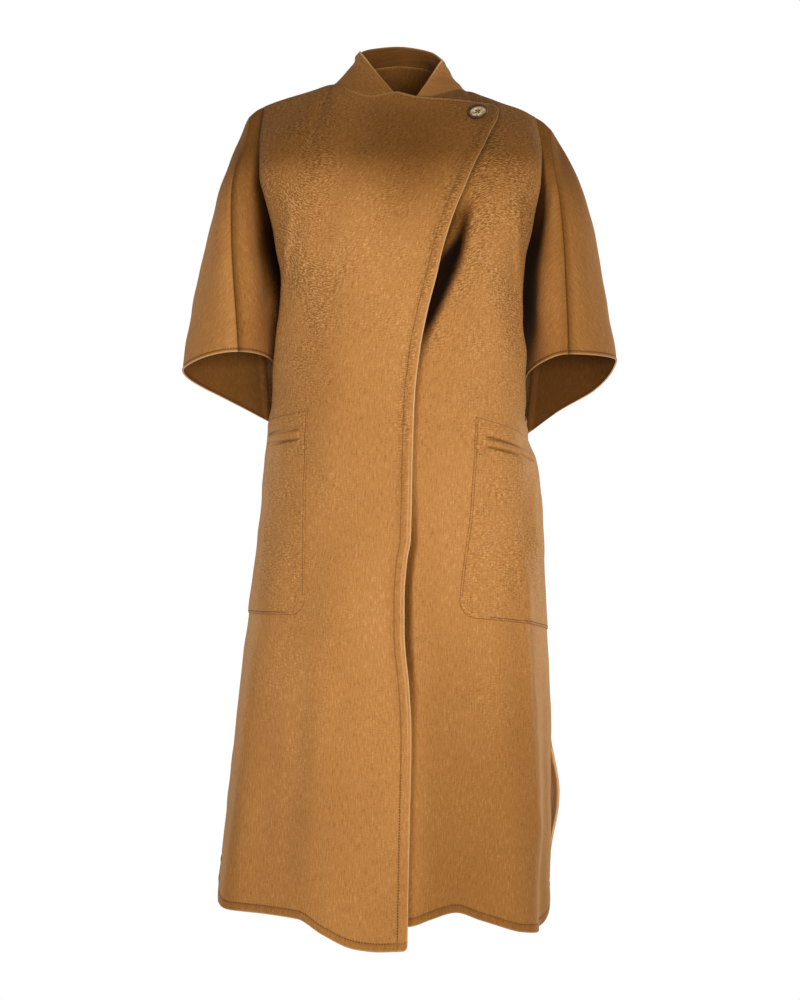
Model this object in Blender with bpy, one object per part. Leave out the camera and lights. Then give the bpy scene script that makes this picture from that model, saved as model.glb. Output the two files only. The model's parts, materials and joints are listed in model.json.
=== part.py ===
"""Wool cape with wide wing sleeves, in the hollow form it has when worn.

Each front is cut in one with the front half of its sleeve, and the back in one with both back
halves, so the seams run along the shoulders, down the upper arms and down the sides. The
wearer's right front crosses the left one and buttons near the left shoulder.

Sizes are millimetres, +Z up, +X to the wearer's left, -Y to the front. The origin is at the
middle of the base of the neck, level with the shoulder points beside it.

A panel is a grid of columns, which run down it, and rows, which run across it. Its surface is
a function of column and row, and its wall is made from the grid's points and normals.
"""
import math
from collections import namedtuple

import bpy
from mathutils import Matrix, Vector
from mathutils.bvhtree import BVHTree

MM = 0.001
RIGHT, LEFT = -1, 1                 # the wearer's sides, as the sign of x

WALL = 2.4                          # double-faced wool cloth
MITRE_LIMIT = 0.7                   # keeps a sharp fold's wall from reaching out too far
COLLAR_WALL = 3.0
PATCH_WALL = 2.0
GAP = 0.3                           # between pieces that are sewn together
SEAM_SHARE = 0.25                   # how far each panel stops short of a seam's line

# Columns and rows of the panels' grids.
EDGE_COLUMNS = 9                    # from a front's edge to the inner side of its pocket
POCKET_COLUMNS = 7                  # from there to the side seam
FRONT_COLUMNS = EDGE_COLUMNS + POCKET_COLUMNS
BACK_HALF_COLUMNS = 9
SLEEVE_FRONT_COLUMNS = 6
SLEEVE_BACK_COLUMNS = 9
TOP_ROWS = 14                       # from the shoulder to the pocket's top, level with the underarm
POCKET_ROWS = 5
HEM_ROWS = 10
ROW_WELT_TOP = TOP_ROWS + 1
ROW_WELT_BOTTOM = TOP_ROWS + 2
ROW_CORNER = ROW_WELT_BOTTOM + POCKET_ROWS
ROW_POCKET_BOTTOM = ROW_CORNER + 1
ROW_HEM = ROW_POCKET_BOTTOM + HEM_ROWS
BACK_LOWER_ROWS = 14                # from the underarm to the hem of the back
ROW_BACK_HEM = TOP_ROWS + BACK_LOWER_ROWS
TOP_ROW_EASE = 1.55                 # above 1, rows lie closer near the shoulder

# Levels and the body's section.
CHEST = -140.0                      # below this the front hangs straight from the chest
BLADE = -115.0                      # the same at the back
NECK_HALF_WIDTH = 83.0
NECK_FRONT = 63.0
NECK_BACK = 70.0
RIDGE_END = 172.0                   # where the sleeve's front fold leaves the shoulder seam
BACK_RIDGE_END = 168.0              # the same for the fold behind it
FRONT_NECK_ANGLE = 34.0             # the lines of the front within this angle begin on the neck
BACK_NECK_ANGLE = 45.0
SECTION_POWER = 2.0 / 2.3           # 1 would be an ellipse, less is boxier
BACK_SECTION_POWER = 0.74           # a point of the back section at half its width
UNDERARM = {RIGHT: -428.0, LEFT: -443.0}
UNDERARM_TABLE = -430.0             # the underarm's level in the sleeve and fold tables

Body = namedtuple("Body", "z right left front back")
BODY = [                            # half widths and depths of the body's rings
    Body(-45, 180, 182, 122, 106),
    Body(-125, 172, 175, 129, 117),
    Body(-175, 163, 169, 134, 122),
    Body(-215, 156, 161, 137, 124),
    Body(-258, 149, 154, 139, 124),
    Body(-300, 153, 154, 140, 122),
    Body(-345, 156, 156, 140, 120),
    Body(-430, 165, 161, 139, 117),
    Body(-450, 168, 163, 139, 117),
    Body(-475, 171, 173, 139, 118),
    Body(-530, 175, 179, 140, 120),
    Body(-655, 190, 185, 144, 126),
    Body(-780, 206, 191, 150, 133),
    Body(-910, 219, 192, 157, 141),
    Body(-1080, 239, 188, 167, 150),
]
Fold = namedtuple("Fold", "z curl y")
FRONT_FOLD = [                      # the deep fold between the body and the front of the sleeve
    Fold(-40, 4, -52),
    Fold(-110, 5, -50),
    Fold(-160, 9, -41),
    Fold(-215, 12, -28),
    Fold(-258, 13, -20),
    Fold(-345, 11, -4),
    Fold(-430, 0, 12),
    Fold(-1080, 0, 10),
]
BackFold = namedtuple("BackFold", "z x y turn")
BACK_FOLD = [                       # the softer fold behind the sleeve; turn 1 is a sharp one
    BackFold(-42, 176, 58, 0.0),
    BackFold(-110, 182, 66, 0.0),
    BackFold(-200, 184, 72, 0.15),
    BackFold(-300, 179, 60, 0.5),
    BackFold(-370, 172, 40, 0.8),
    BackFold(-430, 165, 12, 1.0),
]
Sleeve = namedtuple("Sleeve", "z seam_right seam_left seam_y tip_right tip_left tip_y hull hull_y")
SLEEVE = [                          # overarm seam, outermost line, and the back of the sleeve
    Sleeve(-45, 193, 191, -26, 205, 202, 5, 194, 46),
    Sleeve(-75, 198, 192, -30, 212, 212, 6, 203, 50),
    Sleeve(-110, 209, 196, -36, 221, 225, 7, 212, 55),
    Sleeve(-150, 213, 202, -43, 234, 240, 8, 221, 59),
    Sleeve(-200, 212, 206, -50, 246, 251, 8, 229, 62),
    Sleeve(-250, 209, 208, -56, 257, 259, 6, 236, 64),
    Sleeve(-300, 205, 210, -61, 266, 268, 3, 241, 60),
    Sleeve(-345, 202, 211, -65, 273, 276, 0, 244, 56),
    Sleeve(-430, 198, 212, -70, 286, 292, 0, 247, 50),
]
SLEEVE_KNOTS = [0.0, 1.0, 1.4, 1.7, 2.0]      # fold, seam, tip, hull and back fold
SLEEVE_TOP_X = [172.0, 190.0, 190.5, 184.0, 168.0]
SleeveHem = namedtuple("SleeveHem", "across right left")
SLEEVE_HEM = [                      # height of the sleeve's hem from the fold round to the back fold
    SleeveHem(0.0, -428, -443),
    SleeveHem(0.1, -382, -400),
    SleeveHem(0.25, -352, -371),
    SleeveHem(0.6, -345, -353),
    SleeveHem(1.0, -342, -345),
    SleeveHem(1.4, -360, -349),
    SleeveHem(1.7, -388, -391),
    SleeveHem(1.86, -408, -414),
    SleeveHem(2.0, -428, -443),
]

# The line where the panels begin: the neckline, then the ridge of the shoulder.
Top = namedtuple("Top", "x right left back")
TOP = [
    Top(0, -18, -18, 30),
    Top(31, -21, -21, 26),
    Top(63, -11, -12, 12),
    Top(83, 1, -8, -1),
    Top(107, -6, -15, -6),
    Top(130, -13, -23, -13),
    Top(150, -19, -30, -19),
    Top(165, -24, -37, -24),
    Top(182, -32, -47, -32),
    Top(192, -42, -58, -42),
]
NECK_ROUNDING, SHOULDER_ROUNDING = 1.0, 0.6   # how steeply the cloth leaves that line

# The overlap of the right front over the left one.
COLLAR_RIGHT_END = -7.6
COLLAR_LEFT_END = 21.0
OverlapTop = namedtuple("OverlapTop", "x z")
OVERLAP_TOP = [
    OverlapTop(COLLAR_RIGHT_END, -18),
    OverlapTop(21, -23),
    OverlapTop(61, -25),
    OverlapTop(90, -28),
    OverlapTop(112, -31),
    OverlapTop(120, -35),
    OverlapTop(126, -41),
]
Edge = namedtuple("Edge", "z x")
OVERLAP_EDGE = [
    Edge(-36, 122),
    Edge(-46, 121),
    Edge(-68, 112),
    Edge(-110, 93),
    Edge(-144, 78),
    Edge(-168, 68),
    Edge(-211, 54),
    Edge(-256, 43),
    Edge(-299, 32.5),
    Edge(-342, 24.5),
    Edge(-400, 18),
    Edge(-469, 15.5),
    Edge(-576, 13),
    Edge(-600, 9),
    Edge(-647, 5.5),
    Edge(-690, 5.5),
    Edge(-757, 11),
    Edge(-814, 13.5),
    Edge(-920, 11.5),
    Edge(-1075, 8.5),
]
UNDER_EDGE = [                      # the left front's edge, hidden under the right one
    Edge(-20, COLLAR_LEFT_END),
    Edge(-80, 8),
    Edge(-150, -18),
    Edge(-250, -45),
    Edge(-400, -64),
    Edge(-1075, -76),
]
OVERLAP_LIFT = 6.5                  # how far the right front stands off where it lies on the left
LIFT_TAPER = 70.0                   # over this width it comes down to the shared surface

# Pockets: the inner side's distance from the middle, and the heights of the lines across.
Side = namedtuple("Side", "z right left")
POCKET_SIDE = [
    Side(-5, 85, 86),
    Side(-60, 100, 98),
    Side(-200, 110, 106),
    Side(-424, 113, 94),
    Side(-540, 115, 86),
    Side(-660, 117, 73),
    Side(-1075, 132, 76),
]
Across = namedtuple("Across", "row inner outer")
POCKET_LINES = {
    RIGHT: [
        Across(TOP_ROWS, -416, UNDERARM[RIGHT]),
        Across(ROW_WELT_TOP, -439, -447),
        Across(ROW_WELT_BOTTOM, -452, -458),
        Across(ROW_CORNER, -650, -651),
        Across(ROW_POCKET_BOTTOM, -669, -670),
    ],
    LEFT: [
        Across(TOP_ROWS, -424, UNDERARM[LEFT]),
        Across(ROW_WELT_TOP, -448, -468),
        Across(ROW_WELT_BOTTOM, -460, -478),
        Across(ROW_CORNER, -652, -673),
        Across(ROW_POCKET_BOTTOM, -671, -692),
    ],
}
POCKET_OUTER_COLUMN = FRONT_COLUMNS - 0.2
WELT_INNER_COLUMN = EDGE_COLUMNS + 0.7
WELT_OUTER_COLUMN = FRONT_COLUMNS - 1.6

# Hems, by the angle round the body from the middle of the front or the back.
Hem = namedtuple("Hem", "angle z")
HEM = {
    RIGHT: [
        Hem(-4, -1075),
        Hem(4, -1077),
        Hem(10, -1074),
        Hem(19, -1058),
        Hem(29, -1040),
        Hem(45, -1038),
        Hem(62, -1037),
        Hem(75, -1029),
        Hem(83, -1016),
        Hem(90, -996),
    ],
    LEFT: [
        Hem(-20, -1048),
        Hem(2, -1047),
        Hem(9, -1040),
        Hem(20, -1033),
        Hem(31, -1044),
        Hem(46, -1059),
        Hem(60, -1063),
        Hem(73, -1061),
        Hem(83, -1048),
        Hem(90, -1018),
    ],
}
BACK_HEM = [
    Hem(0, -1050),
    Hem(70, -1046),
    Hem(82, -1038),
    Hem(90, -1008),
]

# Soft folds: ridges stand out and troughs sink in, growing from their start to the hem.
Wave = namedtuple("Wave", "angle width start depth")
FRONT_WAVES = {
    RIGHT: [
        Wave(12, 16, -480, 6),
        Wave(46, 13, -560, -9),
        Wave(66, 10, -700, 6),
    ],
    LEFT: [
        Wave(21, 13, -520, -15),
        Wave(50, 14, -520, 13),
        Wave(70, 8, -560, -7),
    ],
}
BACK_WAVES = [
    Wave(0, 14, -360, -9),
    Wave(24, 12, -420, 10),
    Wave(45, 10, -520, -10),
    Wave(66, 10, -480, 9),
]
WAVE_END = -1060.0
VENT_BULGE, VENT_BULGE_Z, VENT_BULGE_HALF = 11.0, -900.0, 85.0   # the back's left vent edge

# The collar, a band that leans in, with slanted front ends.
CollarTop = namedtuple("CollarTop", "turn x y z")
COLLAR_ROWS = 3
COLLAR_TOP = [                      # turn 0 is its right front end, 1 its left front end
    CollarTop(0.0, -55, -22, 38),
    CollarTop(0.16, -59, 8, 41),
    CollarTop(0.32, -45, 37, 50),
    CollarTop(0.5, -2, 54, 57),
    CollarTop(0.68, 42, 38, 47),
    CollarTop(0.84, 56, 8, 34),
    CollarTop(1.0, 55, -20, 29),
]
COLLAR_GAP = 0.4                    # how far it stands above the neck seam's line
COLLAR_HOLLOW = 4.0                 # how far its sides curve in between base and top

# The button.
BUTTON_X, BUTTON_Z = 100.0, -50.0
BUTTON_RADIUS = 13.0
BUTTON_THICKNESS = 4.2
BUTTON_RIM = 2.6
BUTTON_DISH = 1.5
BUTTON_HOLE_RADIUS = 1.1
BUTTON_HOLE_SPREAD = 2.6
SHANK_RADIUS = 3.0
BUTTON_SEGMENTS = 28


# ---- lines and blends ----------------------------------------------------------------------

def clamp(value, low=0.0, high=1.0):
    return min(max(value, low), high)


def blend(start, end, share):
    return start + (end - start) * share


def ease(share):
    share = clamp(share)
    return share * share * (3.0 - 2.0 * share)


def bump(distance):
    """1 at distance 0, falling smoothly to 0 at distance 1 on either side."""
    return ease(1.0 - abs(distance))


def profile(rows, column):
    """A smooth line through a table's column, with no overshoot. The first column is the key."""
    key = rows[0]._fields[0]
    points = sorted((getattr(row, key), getattr(row, column)) for row in rows)
    keys = [point[0] for point in points]
    values = [point[1] for point in points]
    slopes = [(values[i + 1] - values[i]) / (keys[i + 1] - keys[i]) for i in range(len(keys) - 1)]
    tangents = [slopes[0]]
    for before, after in zip(slopes, slopes[1:]):
        same_way = before * after > 0
        tangents.append(2.0 * before * after / (before + after) if same_way else 0.0)
    tangents.append(slopes[-1])

    def line(at):
        at = clamp(at, keys[0], keys[-1])
        i = 0
        while i < len(keys) - 2 and at > keys[i + 1]:
            i += 1
        span = keys[i + 1] - keys[i]
        return hermite(values[i], values[i + 1], tangents[i] * span, tangents[i + 1] * span,
                       (at - keys[i]) / span)

    return line


def hermite(start, end, leaving, arriving, t):
    a = 2 * t ** 3 - 3 * t ** 2 + 1
    b = t ** 3 - 2 * t ** 2 + t
    c = -2 * t ** 3 + 3 * t ** 2
    d = t ** 3 - t ** 2
    return a * start + b * leaving + c * end + d * arriving


HALF_WIDTH = {RIGHT: profile(BODY, "right"), LEFT: profile(BODY, "left")}
FRONT_DEPTH = profile(BODY, "front")
BACK_DEPTH = profile(BODY, "back")
FOLD_CURL = profile(FRONT_FOLD, "curl")
FOLD_Y = profile(FRONT_FOLD, "y")
BACK_FOLD_X = profile(BACK_FOLD, "x")
BACK_FOLD_Y = profile(BACK_FOLD, "y")
BACK_FOLD_TURN = profile(BACK_FOLD, "turn")
SEAM_X = {RIGHT: profile(SLEEVE, "seam_right"), LEFT: profile(SLEEVE, "seam_left")}
SEAM_Y = profile(SLEEVE, "seam_y")
TIP_X = {RIGHT: profile(SLEEVE, "tip_right"), LEFT: profile(SLEEVE, "tip_left")}
TIP_Y = profile(SLEEVE, "tip_y")
HULL_X = profile(SLEEVE, "hull")
HULL_Y = profile(SLEEVE, "hull_y")
SLEEVE_HEM_Z = {RIGHT: profile(SLEEVE_HEM, "right"), LEFT: profile(SLEEVE_HEM, "left")}
TOP_Z = {RIGHT: profile(TOP, "right"), LEFT: profile(TOP, "left")}
TOP_BACK_Z = profile(TOP, "back")
OVERLAP_TOP_Z = profile(OVERLAP_TOP, "z")
OVERLAP_EDGE_X = profile(OVERLAP_EDGE, "x")
UNDER_EDGE_X = profile(UNDER_EDGE, "x")
POCKET_X = {RIGHT: profile(POCKET_SIDE, "right"), LEFT: profile(POCKET_SIDE, "left")}
HEM_Z = {side: profile(rows, "z") for side, rows in HEM.items()}
BACK_HEM_Z = profile(BACK_HEM, "z")
COLLAR_TOP_X = profile(COLLAR_TOP, "x")
COLLAR_TOP_Y = profile(COLLAR_TOP, "y")
COLLAR_TOP_Z = profile(COLLAR_TOP, "z")


def sleeve_level(side, z):
    """A height beside the sleeve, as the fold and sleeve tables give it."""
    if z < UNDERARM[side]:
        return z
    return z * UNDERARM_TABLE / UNDERARM[side]


def rounding(x):
    """How steeply the cloth leaves the top line at this distance from the middle."""
    return blend(NECK_ROUNDING, SHOULDER_ROUNDING, ease((abs(x) - 50.0) / 45.0))


def neck_y(x, depth):
    """The neckline's distance in front of or behind the ridge of the shoulder."""
    return depth * math.sqrt(max(0.0, 1.0 - (x / NECK_HALF_WIDTH) ** 2))


def waves(rows, angle, z):
    """How far the soft folds move the cloth out at this angle and height."""
    total = 0.0
    for wave in rows:
        grown = ease((wave.start - z) / (wave.start - WAVE_END))
        total += wave.depth * grown * bump((angle - wave.angle) / (1.7 * wave.width))
    return total


def moved_out(x, y, centre_y, distance):
    length = math.hypot(x, y - centre_y) or 1.0
    return x + distance * x / length, y + distance * (y - centre_y) / length


def top_x(angle, neck_angle, ridge_end):
    """How far out the line at an angle begins: round the neck, then along the shoulder."""
    if angle <= neck_angle:
        return NECK_HALF_WIDTH * math.sin(math.pi / 2 * angle / neck_angle)
    return blend(NECK_HALF_WIDTH, ridge_end, (angle - neck_angle) / (90.0 - neck_angle))


# ---- the front of the body -----------------------------------------------------------------

def front_top(angle):
    """Where a line of the front begins on the neckline or shoulder: x, y, z."""
    side = LEFT if angle >= 0 else RIGHT
    x = top_x(abs(angle), FRONT_NECK_ANGLE, RIDGE_END)
    return side * x, -neck_y(x, NECK_FRONT), TOP_Z[side](x)


def front_point(angle, z):
    """The shared surface of the fronts. Angle 0 is the middle, 90 the side seam or the fold."""
    side = LEFT if angle >= 0 else RIGHT
    turn = math.radians(abs(angle))
    level = sleeve_level(side, z)
    across = math.sin(turn) ** SECTION_POWER
    along = max(0.0, math.cos(turn)) ** SECTION_POWER
    fold_y = FOLD_Y(level)
    x = side * (HALF_WIDTH[side](z) * across - FOLD_CURL(level) * ease((abs(angle) - 50) / 40))
    y = fold_y - (FRONT_DEPTH(z) + fold_y) * along
    x, y = moved_out(x, y, 0.0, waves(FRONT_WAVES[side], abs(angle), z))
    start_x, start_y, start_z = front_top(angle)
    fallen = clamp((start_z - z) / (start_z - CHEST))
    round_off = math.sin(math.pi / 2 * fallen) ** rounding(start_x)
    return Vector((blend(start_x, x, fallen * (2 - fallen)), blend(start_y, y, round_off), z))


def front_angle(x, z):
    """The angle at which the front's surface reaches x at this height."""
    side = LEFT if x >= 0 else RIGHT
    low, high = 0.0, 75.0
    for _ in range(24):
        middle = (low + high) / 2
        if abs(front_point(side * middle, z).x) < abs(x):
            low = middle
        else:
            high = middle
    return side * (low + high) / 2


def surface_normal(surface, column, row, columns, rows):
    """The unit normal of a surface of columns and rows, to the left of a line down it."""
    step = 0.004
    left, right = max(0.0, column - step), min(columns, column + step)
    above, below = max(0.0, row - step), min(rows, row + step)
    across = surface(right, row) - surface(left, row)
    down = surface(column, below) - surface(column, above)
    return across.cross(down).normalized()


def ridge_normal(x):
    """The normal along the shoulder seam, which the front and the back share."""
    side = LEFT if x >= 0 else RIGHT
    slope = (TOP_Z[side](abs(x) + 1) - TOP_Z[side](abs(x) - 1)) / 2
    return Vector((-slope * side, 0.0, 1.0)).normalized()


def lift(x, z):
    """How far the right front stands off the shared surface to lie on the left front."""
    return OVERLAP_LIFT * ease((x - UNDER_EDGE_X(z) + LIFT_TAPER) / (LIFT_TAPER - 8))


def front_normal(angle, z):
    step = 0.2
    across = front_point(angle + step, z) - front_point(angle - step, z)
    down = front_point(angle, z - step) - front_point(angle, z)
    return across.cross(down).normalized() * -1


# A front's guide lines are its edge, the inner side of its pocket and the side seam.

def front_column_angle(side, column, z):
    pocket = front_angle(side * POCKET_X[side](z), z)
    if column >= EDGE_COLUMNS:
        return blend(pocket, side * 90.0, (column - EDGE_COLUMNS) / POCKET_COLUMNS)
    edge_x = OVERLAP_EDGE_X(z) if side == RIGHT else UNDER_EDGE_X(z)
    return blend(front_angle(edge_x, z), pocket, column / EDGE_COLUMNS)


def front_column_top(side, column):
    """The height at which a column of a front begins."""
    z = -20.0
    for _ in range(8):
        angle = front_column_angle(side, column, z)
        x = front_point(angle, z).x
        if side == RIGHT and x > COLLAR_RIGHT_END:
            z = OVERLAP_TOP_Z(x)
        else:
            z = front_top(angle)[2]
    return z


def front_column_bottom(side, column):
    z = HEM[side][0].z
    for _ in range(4):
        z = HEM_Z[side](side * front_column_angle(side, column, z))
    return z


FRONT_TOPS = {}
FRONT_BOTTOMS = {}


def front_height(side, column, row):
    """The height of a front's grid at a column and row."""
    key = (side, round(column, 4))
    if key not in FRONT_TOPS:
        FRONT_TOPS[key] = front_column_top(side, column)
        FRONT_BOTTOMS[key] = front_column_bottom(side, column)
    outer = clamp((column - EDGE_COLUMNS) / POCKET_COLUMNS)
    lines = [(line.row, blend(line.inner, line.outer, outer)) for line in POCKET_LINES[side]]
    if row <= TOP_ROWS:
        return blend(FRONT_TOPS[key], lines[0][1], (row / TOP_ROWS) ** TOP_ROW_EASE)
    lines.append((ROW_HEM, FRONT_BOTTOMS[key]))
    for (row_above, above), (row_below, below) in zip(lines, lines[1:]):
        if row <= row_below:
            return blend(above, below, (row - row_above) / (row_below - row_above))
    return lines[-1][1]


def front_body(side):
    def surface(column, row):
        z = front_height(side, column, row)
        angle = front_column_angle(side, column, z)
        point = front_point(angle, z)
        if side == RIGHT:
            point = point + front_normal(angle, z) * lift(point.x, z)
        return point

    return surface


# ---- the back of the body ------------------------------------------------------------------

def side_point(side, z):
    """The back's outer line: the fold behind the sleeve, then the side seam."""
    if z <= UNDERARM[side]:
        bulge = VENT_BULGE * bump((z - VENT_BULGE_Z) / VENT_BULGE_HALF) if side == LEFT else 0.0
        return HALF_WIDTH[side](z) + bulge, FOLD_Y(z), 1.0
    level = sleeve_level(side, z)
    shift = HALF_WIDTH[side](UNDERARM[side]) - BACK_FOLD[-1].x
    return BACK_FOLD_X(level) + shift * level / UNDERARM_TABLE, BACK_FOLD_Y(level), \
        BACK_FOLD_TURN(level)


def back_section(side, share, z):
    """A point of the back at a height, from the middle (share 0) to its outer line (1)."""
    outer_x, outer_y, turn = side_point(side, z)
    depth = BACK_DEPTH(z)
    middle = Vector((0.0, depth))
    outer = Vector((outer_x, outer_y))
    blade = Vector((BACK_SECTION_POWER * outer_x,
                    blend(outer_y, depth, BACK_SECTION_POWER)))
    smooth_way = (outer - blade).normalized()
    way = blend(smooth_way, Vector((0.0, -1.0)), turn).normalized()
    through = (outer - middle) * 0.62
    if share < 0.5:
        x, y = bezier_free(middle, blade, Vector((blade.x, 0.0)), through, share * 2)
    else:
        x, y = bezier_free(blade, outer, through, way * (outer - blade).length, share * 2 - 1)
    return x, y


def bezier_free(start, end, leaving, arriving, t):
    return (hermite(start.x, end.x, leaving.x, arriving.x, t),
            hermite(start.y, end.y, leaving.y, arriving.y, t))


def back_point(side, share, z):
    x, y = back_section(side, share, z)
    x, y = moved_out(x, y, 0.0, waves(BACK_WAVES, 90 * share, z) * ease((1 - share) * 8))
    start_x = top_x(90 * share, BACK_NECK_ANGLE, BACK_RIDGE_END)
    start_y = neck_y(start_x, NECK_BACK)
    start_z = back_top(side, start_x)
    fallen = clamp((start_z - z) / (start_z - BLADE))
    round_off = math.sin(math.pi / 2 * fallen) ** rounding(start_x)
    x = side * blend(start_x, x, fallen * (2 - fallen))
    return Vector((x, blend(start_y, y, round_off), z))


def back_top(side, x):
    """The height of the back's top line: the nape, then the shoulder it shares with the front."""
    return blend(TOP_BACK_Z(x), TOP_Z[side](x), ease((x - 40.0) / 40.0))


def back_body(column, row):
    """Columns run from the right side seam to the left one."""
    share = abs(column - BACK_HALF_COLUMNS) / BACK_HALF_COLUMNS
    side = LEFT if column >= BACK_HALF_COLUMNS else RIGHT
    top = back_top(side, top_x(90 * share, BACK_NECK_ANGLE, BACK_RIDGE_END))
    middle = (UNDERARM[LEFT] + UNDERARM[RIGHT]) / 2
    waist = blend(middle, UNDERARM[side], ease(share))
    if row <= TOP_ROWS:
        z = blend(top, waist, (row / TOP_ROWS) ** TOP_ROW_EASE)
    else:
        z = blend(waist, BACK_HEM_Z(90 * share), (row - TOP_ROWS) / BACK_LOWER_ROWS)
    return back_point(side, share, z)


# ---- the sleeves ---------------------------------------------------------------------------

def sleeve_section(side, across, z):
    """A point of the sleeve at a height: across 0 is the front fold, 1 the seam, 2 the back fold."""
    level = sleeve_level(side, z)
    fold = front_point(side * 90.0, z)
    back_x, back_y, _ = side_point(side, z)
    knots = [
        Vector((abs(fold.x), fold.y)),
        Vector((SEAM_X[side](level), SEAM_Y(level))),
        Vector((TIP_X[side](level), TIP_Y(level))),
        Vector((HULL_X(level), HULL_Y(level))),
        Vector((back_x, back_y)),
    ]
    ways = [knots[1] - knots[0]]
    for before, after in zip(knots, knots[2:]):
        ways.append((after - before).normalized())
    ways.append(knots[-1] - knots[-2])
    i = max(i for i in range(len(knots) - 1) if SLEEVE_KNOTS[i] <= across or i == 0)
    length = (knots[i + 1] - knots[i]).length
    leaving = ways[i].normalized() * length
    arriving = ways[i + 1].normalized() * length
    share = (across - SLEEVE_KNOTS[i]) / (SLEEVE_KNOTS[i + 1] - SLEEVE_KNOTS[i])
    return bezier_free(knots[i], knots[i + 1], leaving, arriving, share)


def sleeve_top_x(across):
    i = max(i for i in range(len(SLEEVE_KNOTS) - 1) if SLEEVE_KNOTS[i] <= across)
    share = (across - SLEEVE_KNOTS[i]) / (SLEEVE_KNOTS[i + 1] - SLEEVE_KNOTS[i])
    return blend(SLEEVE_TOP_X[i], SLEEVE_TOP_X[i + 1], share)


def sleeve_point(side, across, row):
    start_x = sleeve_top_x(across)
    start_z = TOP_Z[side](start_x)
    z = blend(start_z, SLEEVE_HEM_Z[side](across), (row / TOP_ROWS) ** TOP_ROW_EASE)
    if across <= 0.0:
        return front_point(side * 90.0, z)
    if across >= 2.0:
        return back_point(side, 1.0, z)
    x, y = sleeve_section(side, across, z)
    chest = blend(CHEST, BLADE, across / 2)
    fallen = clamp((start_z - z) / (start_z - chest))
    round_off = math.sin(math.pi / 2 * fallen) ** SHOULDER_ROUNDING
    centred = math.sin(math.pi * across / 2)
    out = blend(fallen * (2 - fallen), round_off, centred)
    return Vector((side * blend(start_x, x, out), y * round_off, z))


def sleeve_front(side):
    def surface(column, row):
        return sleeve_point(side, column / SLEEVE_FRONT_COLUMNS, row)

    return surface


def sleeve_back(side):
    def surface(column, row):
        return sleeve_point(side, 1.0 + column / SLEEVE_BACK_COLUMNS, row)

    return surface


# ---- grids and walls -----------------------------------------------------------------------

class Cloth:
    """Points with their normals, and the faces between them."""

    def __init__(self):
        self.points, self.normals, self.faces = [], [], []
        self.found = {}

    def point(self, place, normal):
        """The number of a point. A point that two grids share has the mean of their normals."""
        key = tuple(round(value, 2) for value in place)
        if key in self.found:
            number = self.found[key]
            mean = (self.normals[number] + normal).normalized()
            self.normals[number] = mean / max(mean.dot(normal), MITRE_LIMIT)
            return number
        self.found[key] = len(self.points)
        self.points.append(place)
        self.normals.append(normal)
        return self.found[key]

    def grid(self, surface, columns, rows, outward):
        """Add a whole grid, and return its point numbers by column and row."""
        places = [[surface(column, row) for row in range(rows + 1)]
                  for column in range(columns + 1)]
        normals = [[surface_normal(surface, column, row, columns, rows)
                    for row in range(rows + 1)] for column in range(columns + 1)]
        votes = sum(math.copysign(1, normal.dot(outward(place)))
                    for line, ways in zip(places, normals) for place, normal in zip(line, ways))
        flip = votes < 0
        numbers = []
        for line, ways in zip(places, normals):
            numbers.append([])
            for row, (place, normal) in enumerate(zip(line, ways)):
                normal = -normal if flip else normal
                if row == 0 and abs(place.x) >= NECK_HALF_WIDTH and abs(place.y) < 0.01:
                    normal = ridge_normal(place.x)
                numbers[-1].append(self.point(place, normal))
        self.add_faces(numbers, flip)
        return numbers

    def add_faces(self, numbers, flip, cut_corner=False):
        """The faces of a grid. A cut corner leaves a slanted one at its first column's foot."""
        last_row = len(numbers[0]) - 2
        for column in range(len(numbers) - 1):
            for row in range(last_row + 1):
                a, b = numbers[column][row], numbers[column + 1][row]
                c, d = numbers[column + 1][row + 1], numbers[column][row + 1]
                halves = [(a, b, c), (a, c, d)]
                if cut_corner and column == 0 and row == last_row:
                    halves.pop()
                for half in halves:
                    self.faces.append(tuple(reversed(half)) if flip else half)


def border_of(faces):
    edges = {}
    for face in faces:
        for start, end in zip(face, face[1:] + face[:1]):
            edges[(start, end)] = True
    return [edge for edge in edges if (edge[1], edge[0]) not in edges]


def wall(name, cloth, outside, inside, material, inset=0.0):
    """A closed solid between two offsets of a cloth, its borders drawn in by inset."""
    ways = cloth.normals
    border = border_of(cloth.faces)
    pull = {number: Vector() for edge in border for number in edge}
    for face in cloth.faces:
        centre = sum((cloth.points[number] for number in face), Vector()) / len(face)
        for number in face:
            if number in pull:
                pull[number] += (centre - cloth.points[number]).normalized()
    places = list(cloth.points)
    for start, end in border:
        along = (cloth.points[end] - cloth.points[start]).normalized()
        for number in (start, end):
            pull[number] -= along * pull[number].dot(along) * 0.5
    for number, way in pull.items():
        way = way - ways[number] * (way.dot(ways[number]) / ways[number].length_squared)
        if way.length > 1e-6:
            places[number] = places[number] + way.normalized() * inset
    used = sorted({number for face in cloth.faces for number in face})
    order = {number: i for i, number in enumerate(used)}
    count = len(used)
    vertices = [(places[n] + ways[n] * outside) * MM for n in used]
    vertices += [(places[n] + ways[n] * inside) * MM for n in used]
    faces = [tuple(order[n] for n in face) for face in cloth.faces]
    faces += [tuple(order[n] + count for n in reversed(face)) for face in cloth.faces]
    for start, end in border:
        a, b = order[start], order[end]
        faces.append((b, a, a + count, b + count))
    return add_object(name, vertices, faces, material)


def add_object(name, vertices, faces, material):
    mesh = bpy.data.meshes.new(name)
    mesh.from_pydata([tuple(vertex) for vertex in vertices], [], faces)
    mesh.materials.append(material)
    mesh.shade_smooth()
    mesh.set_sharp_from_angle(angle=math.radians(40))
    thing = bpy.data.objects.new(name, mesh)
    bpy.context.scene.collection.objects.link(thing)
    return thing


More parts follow.
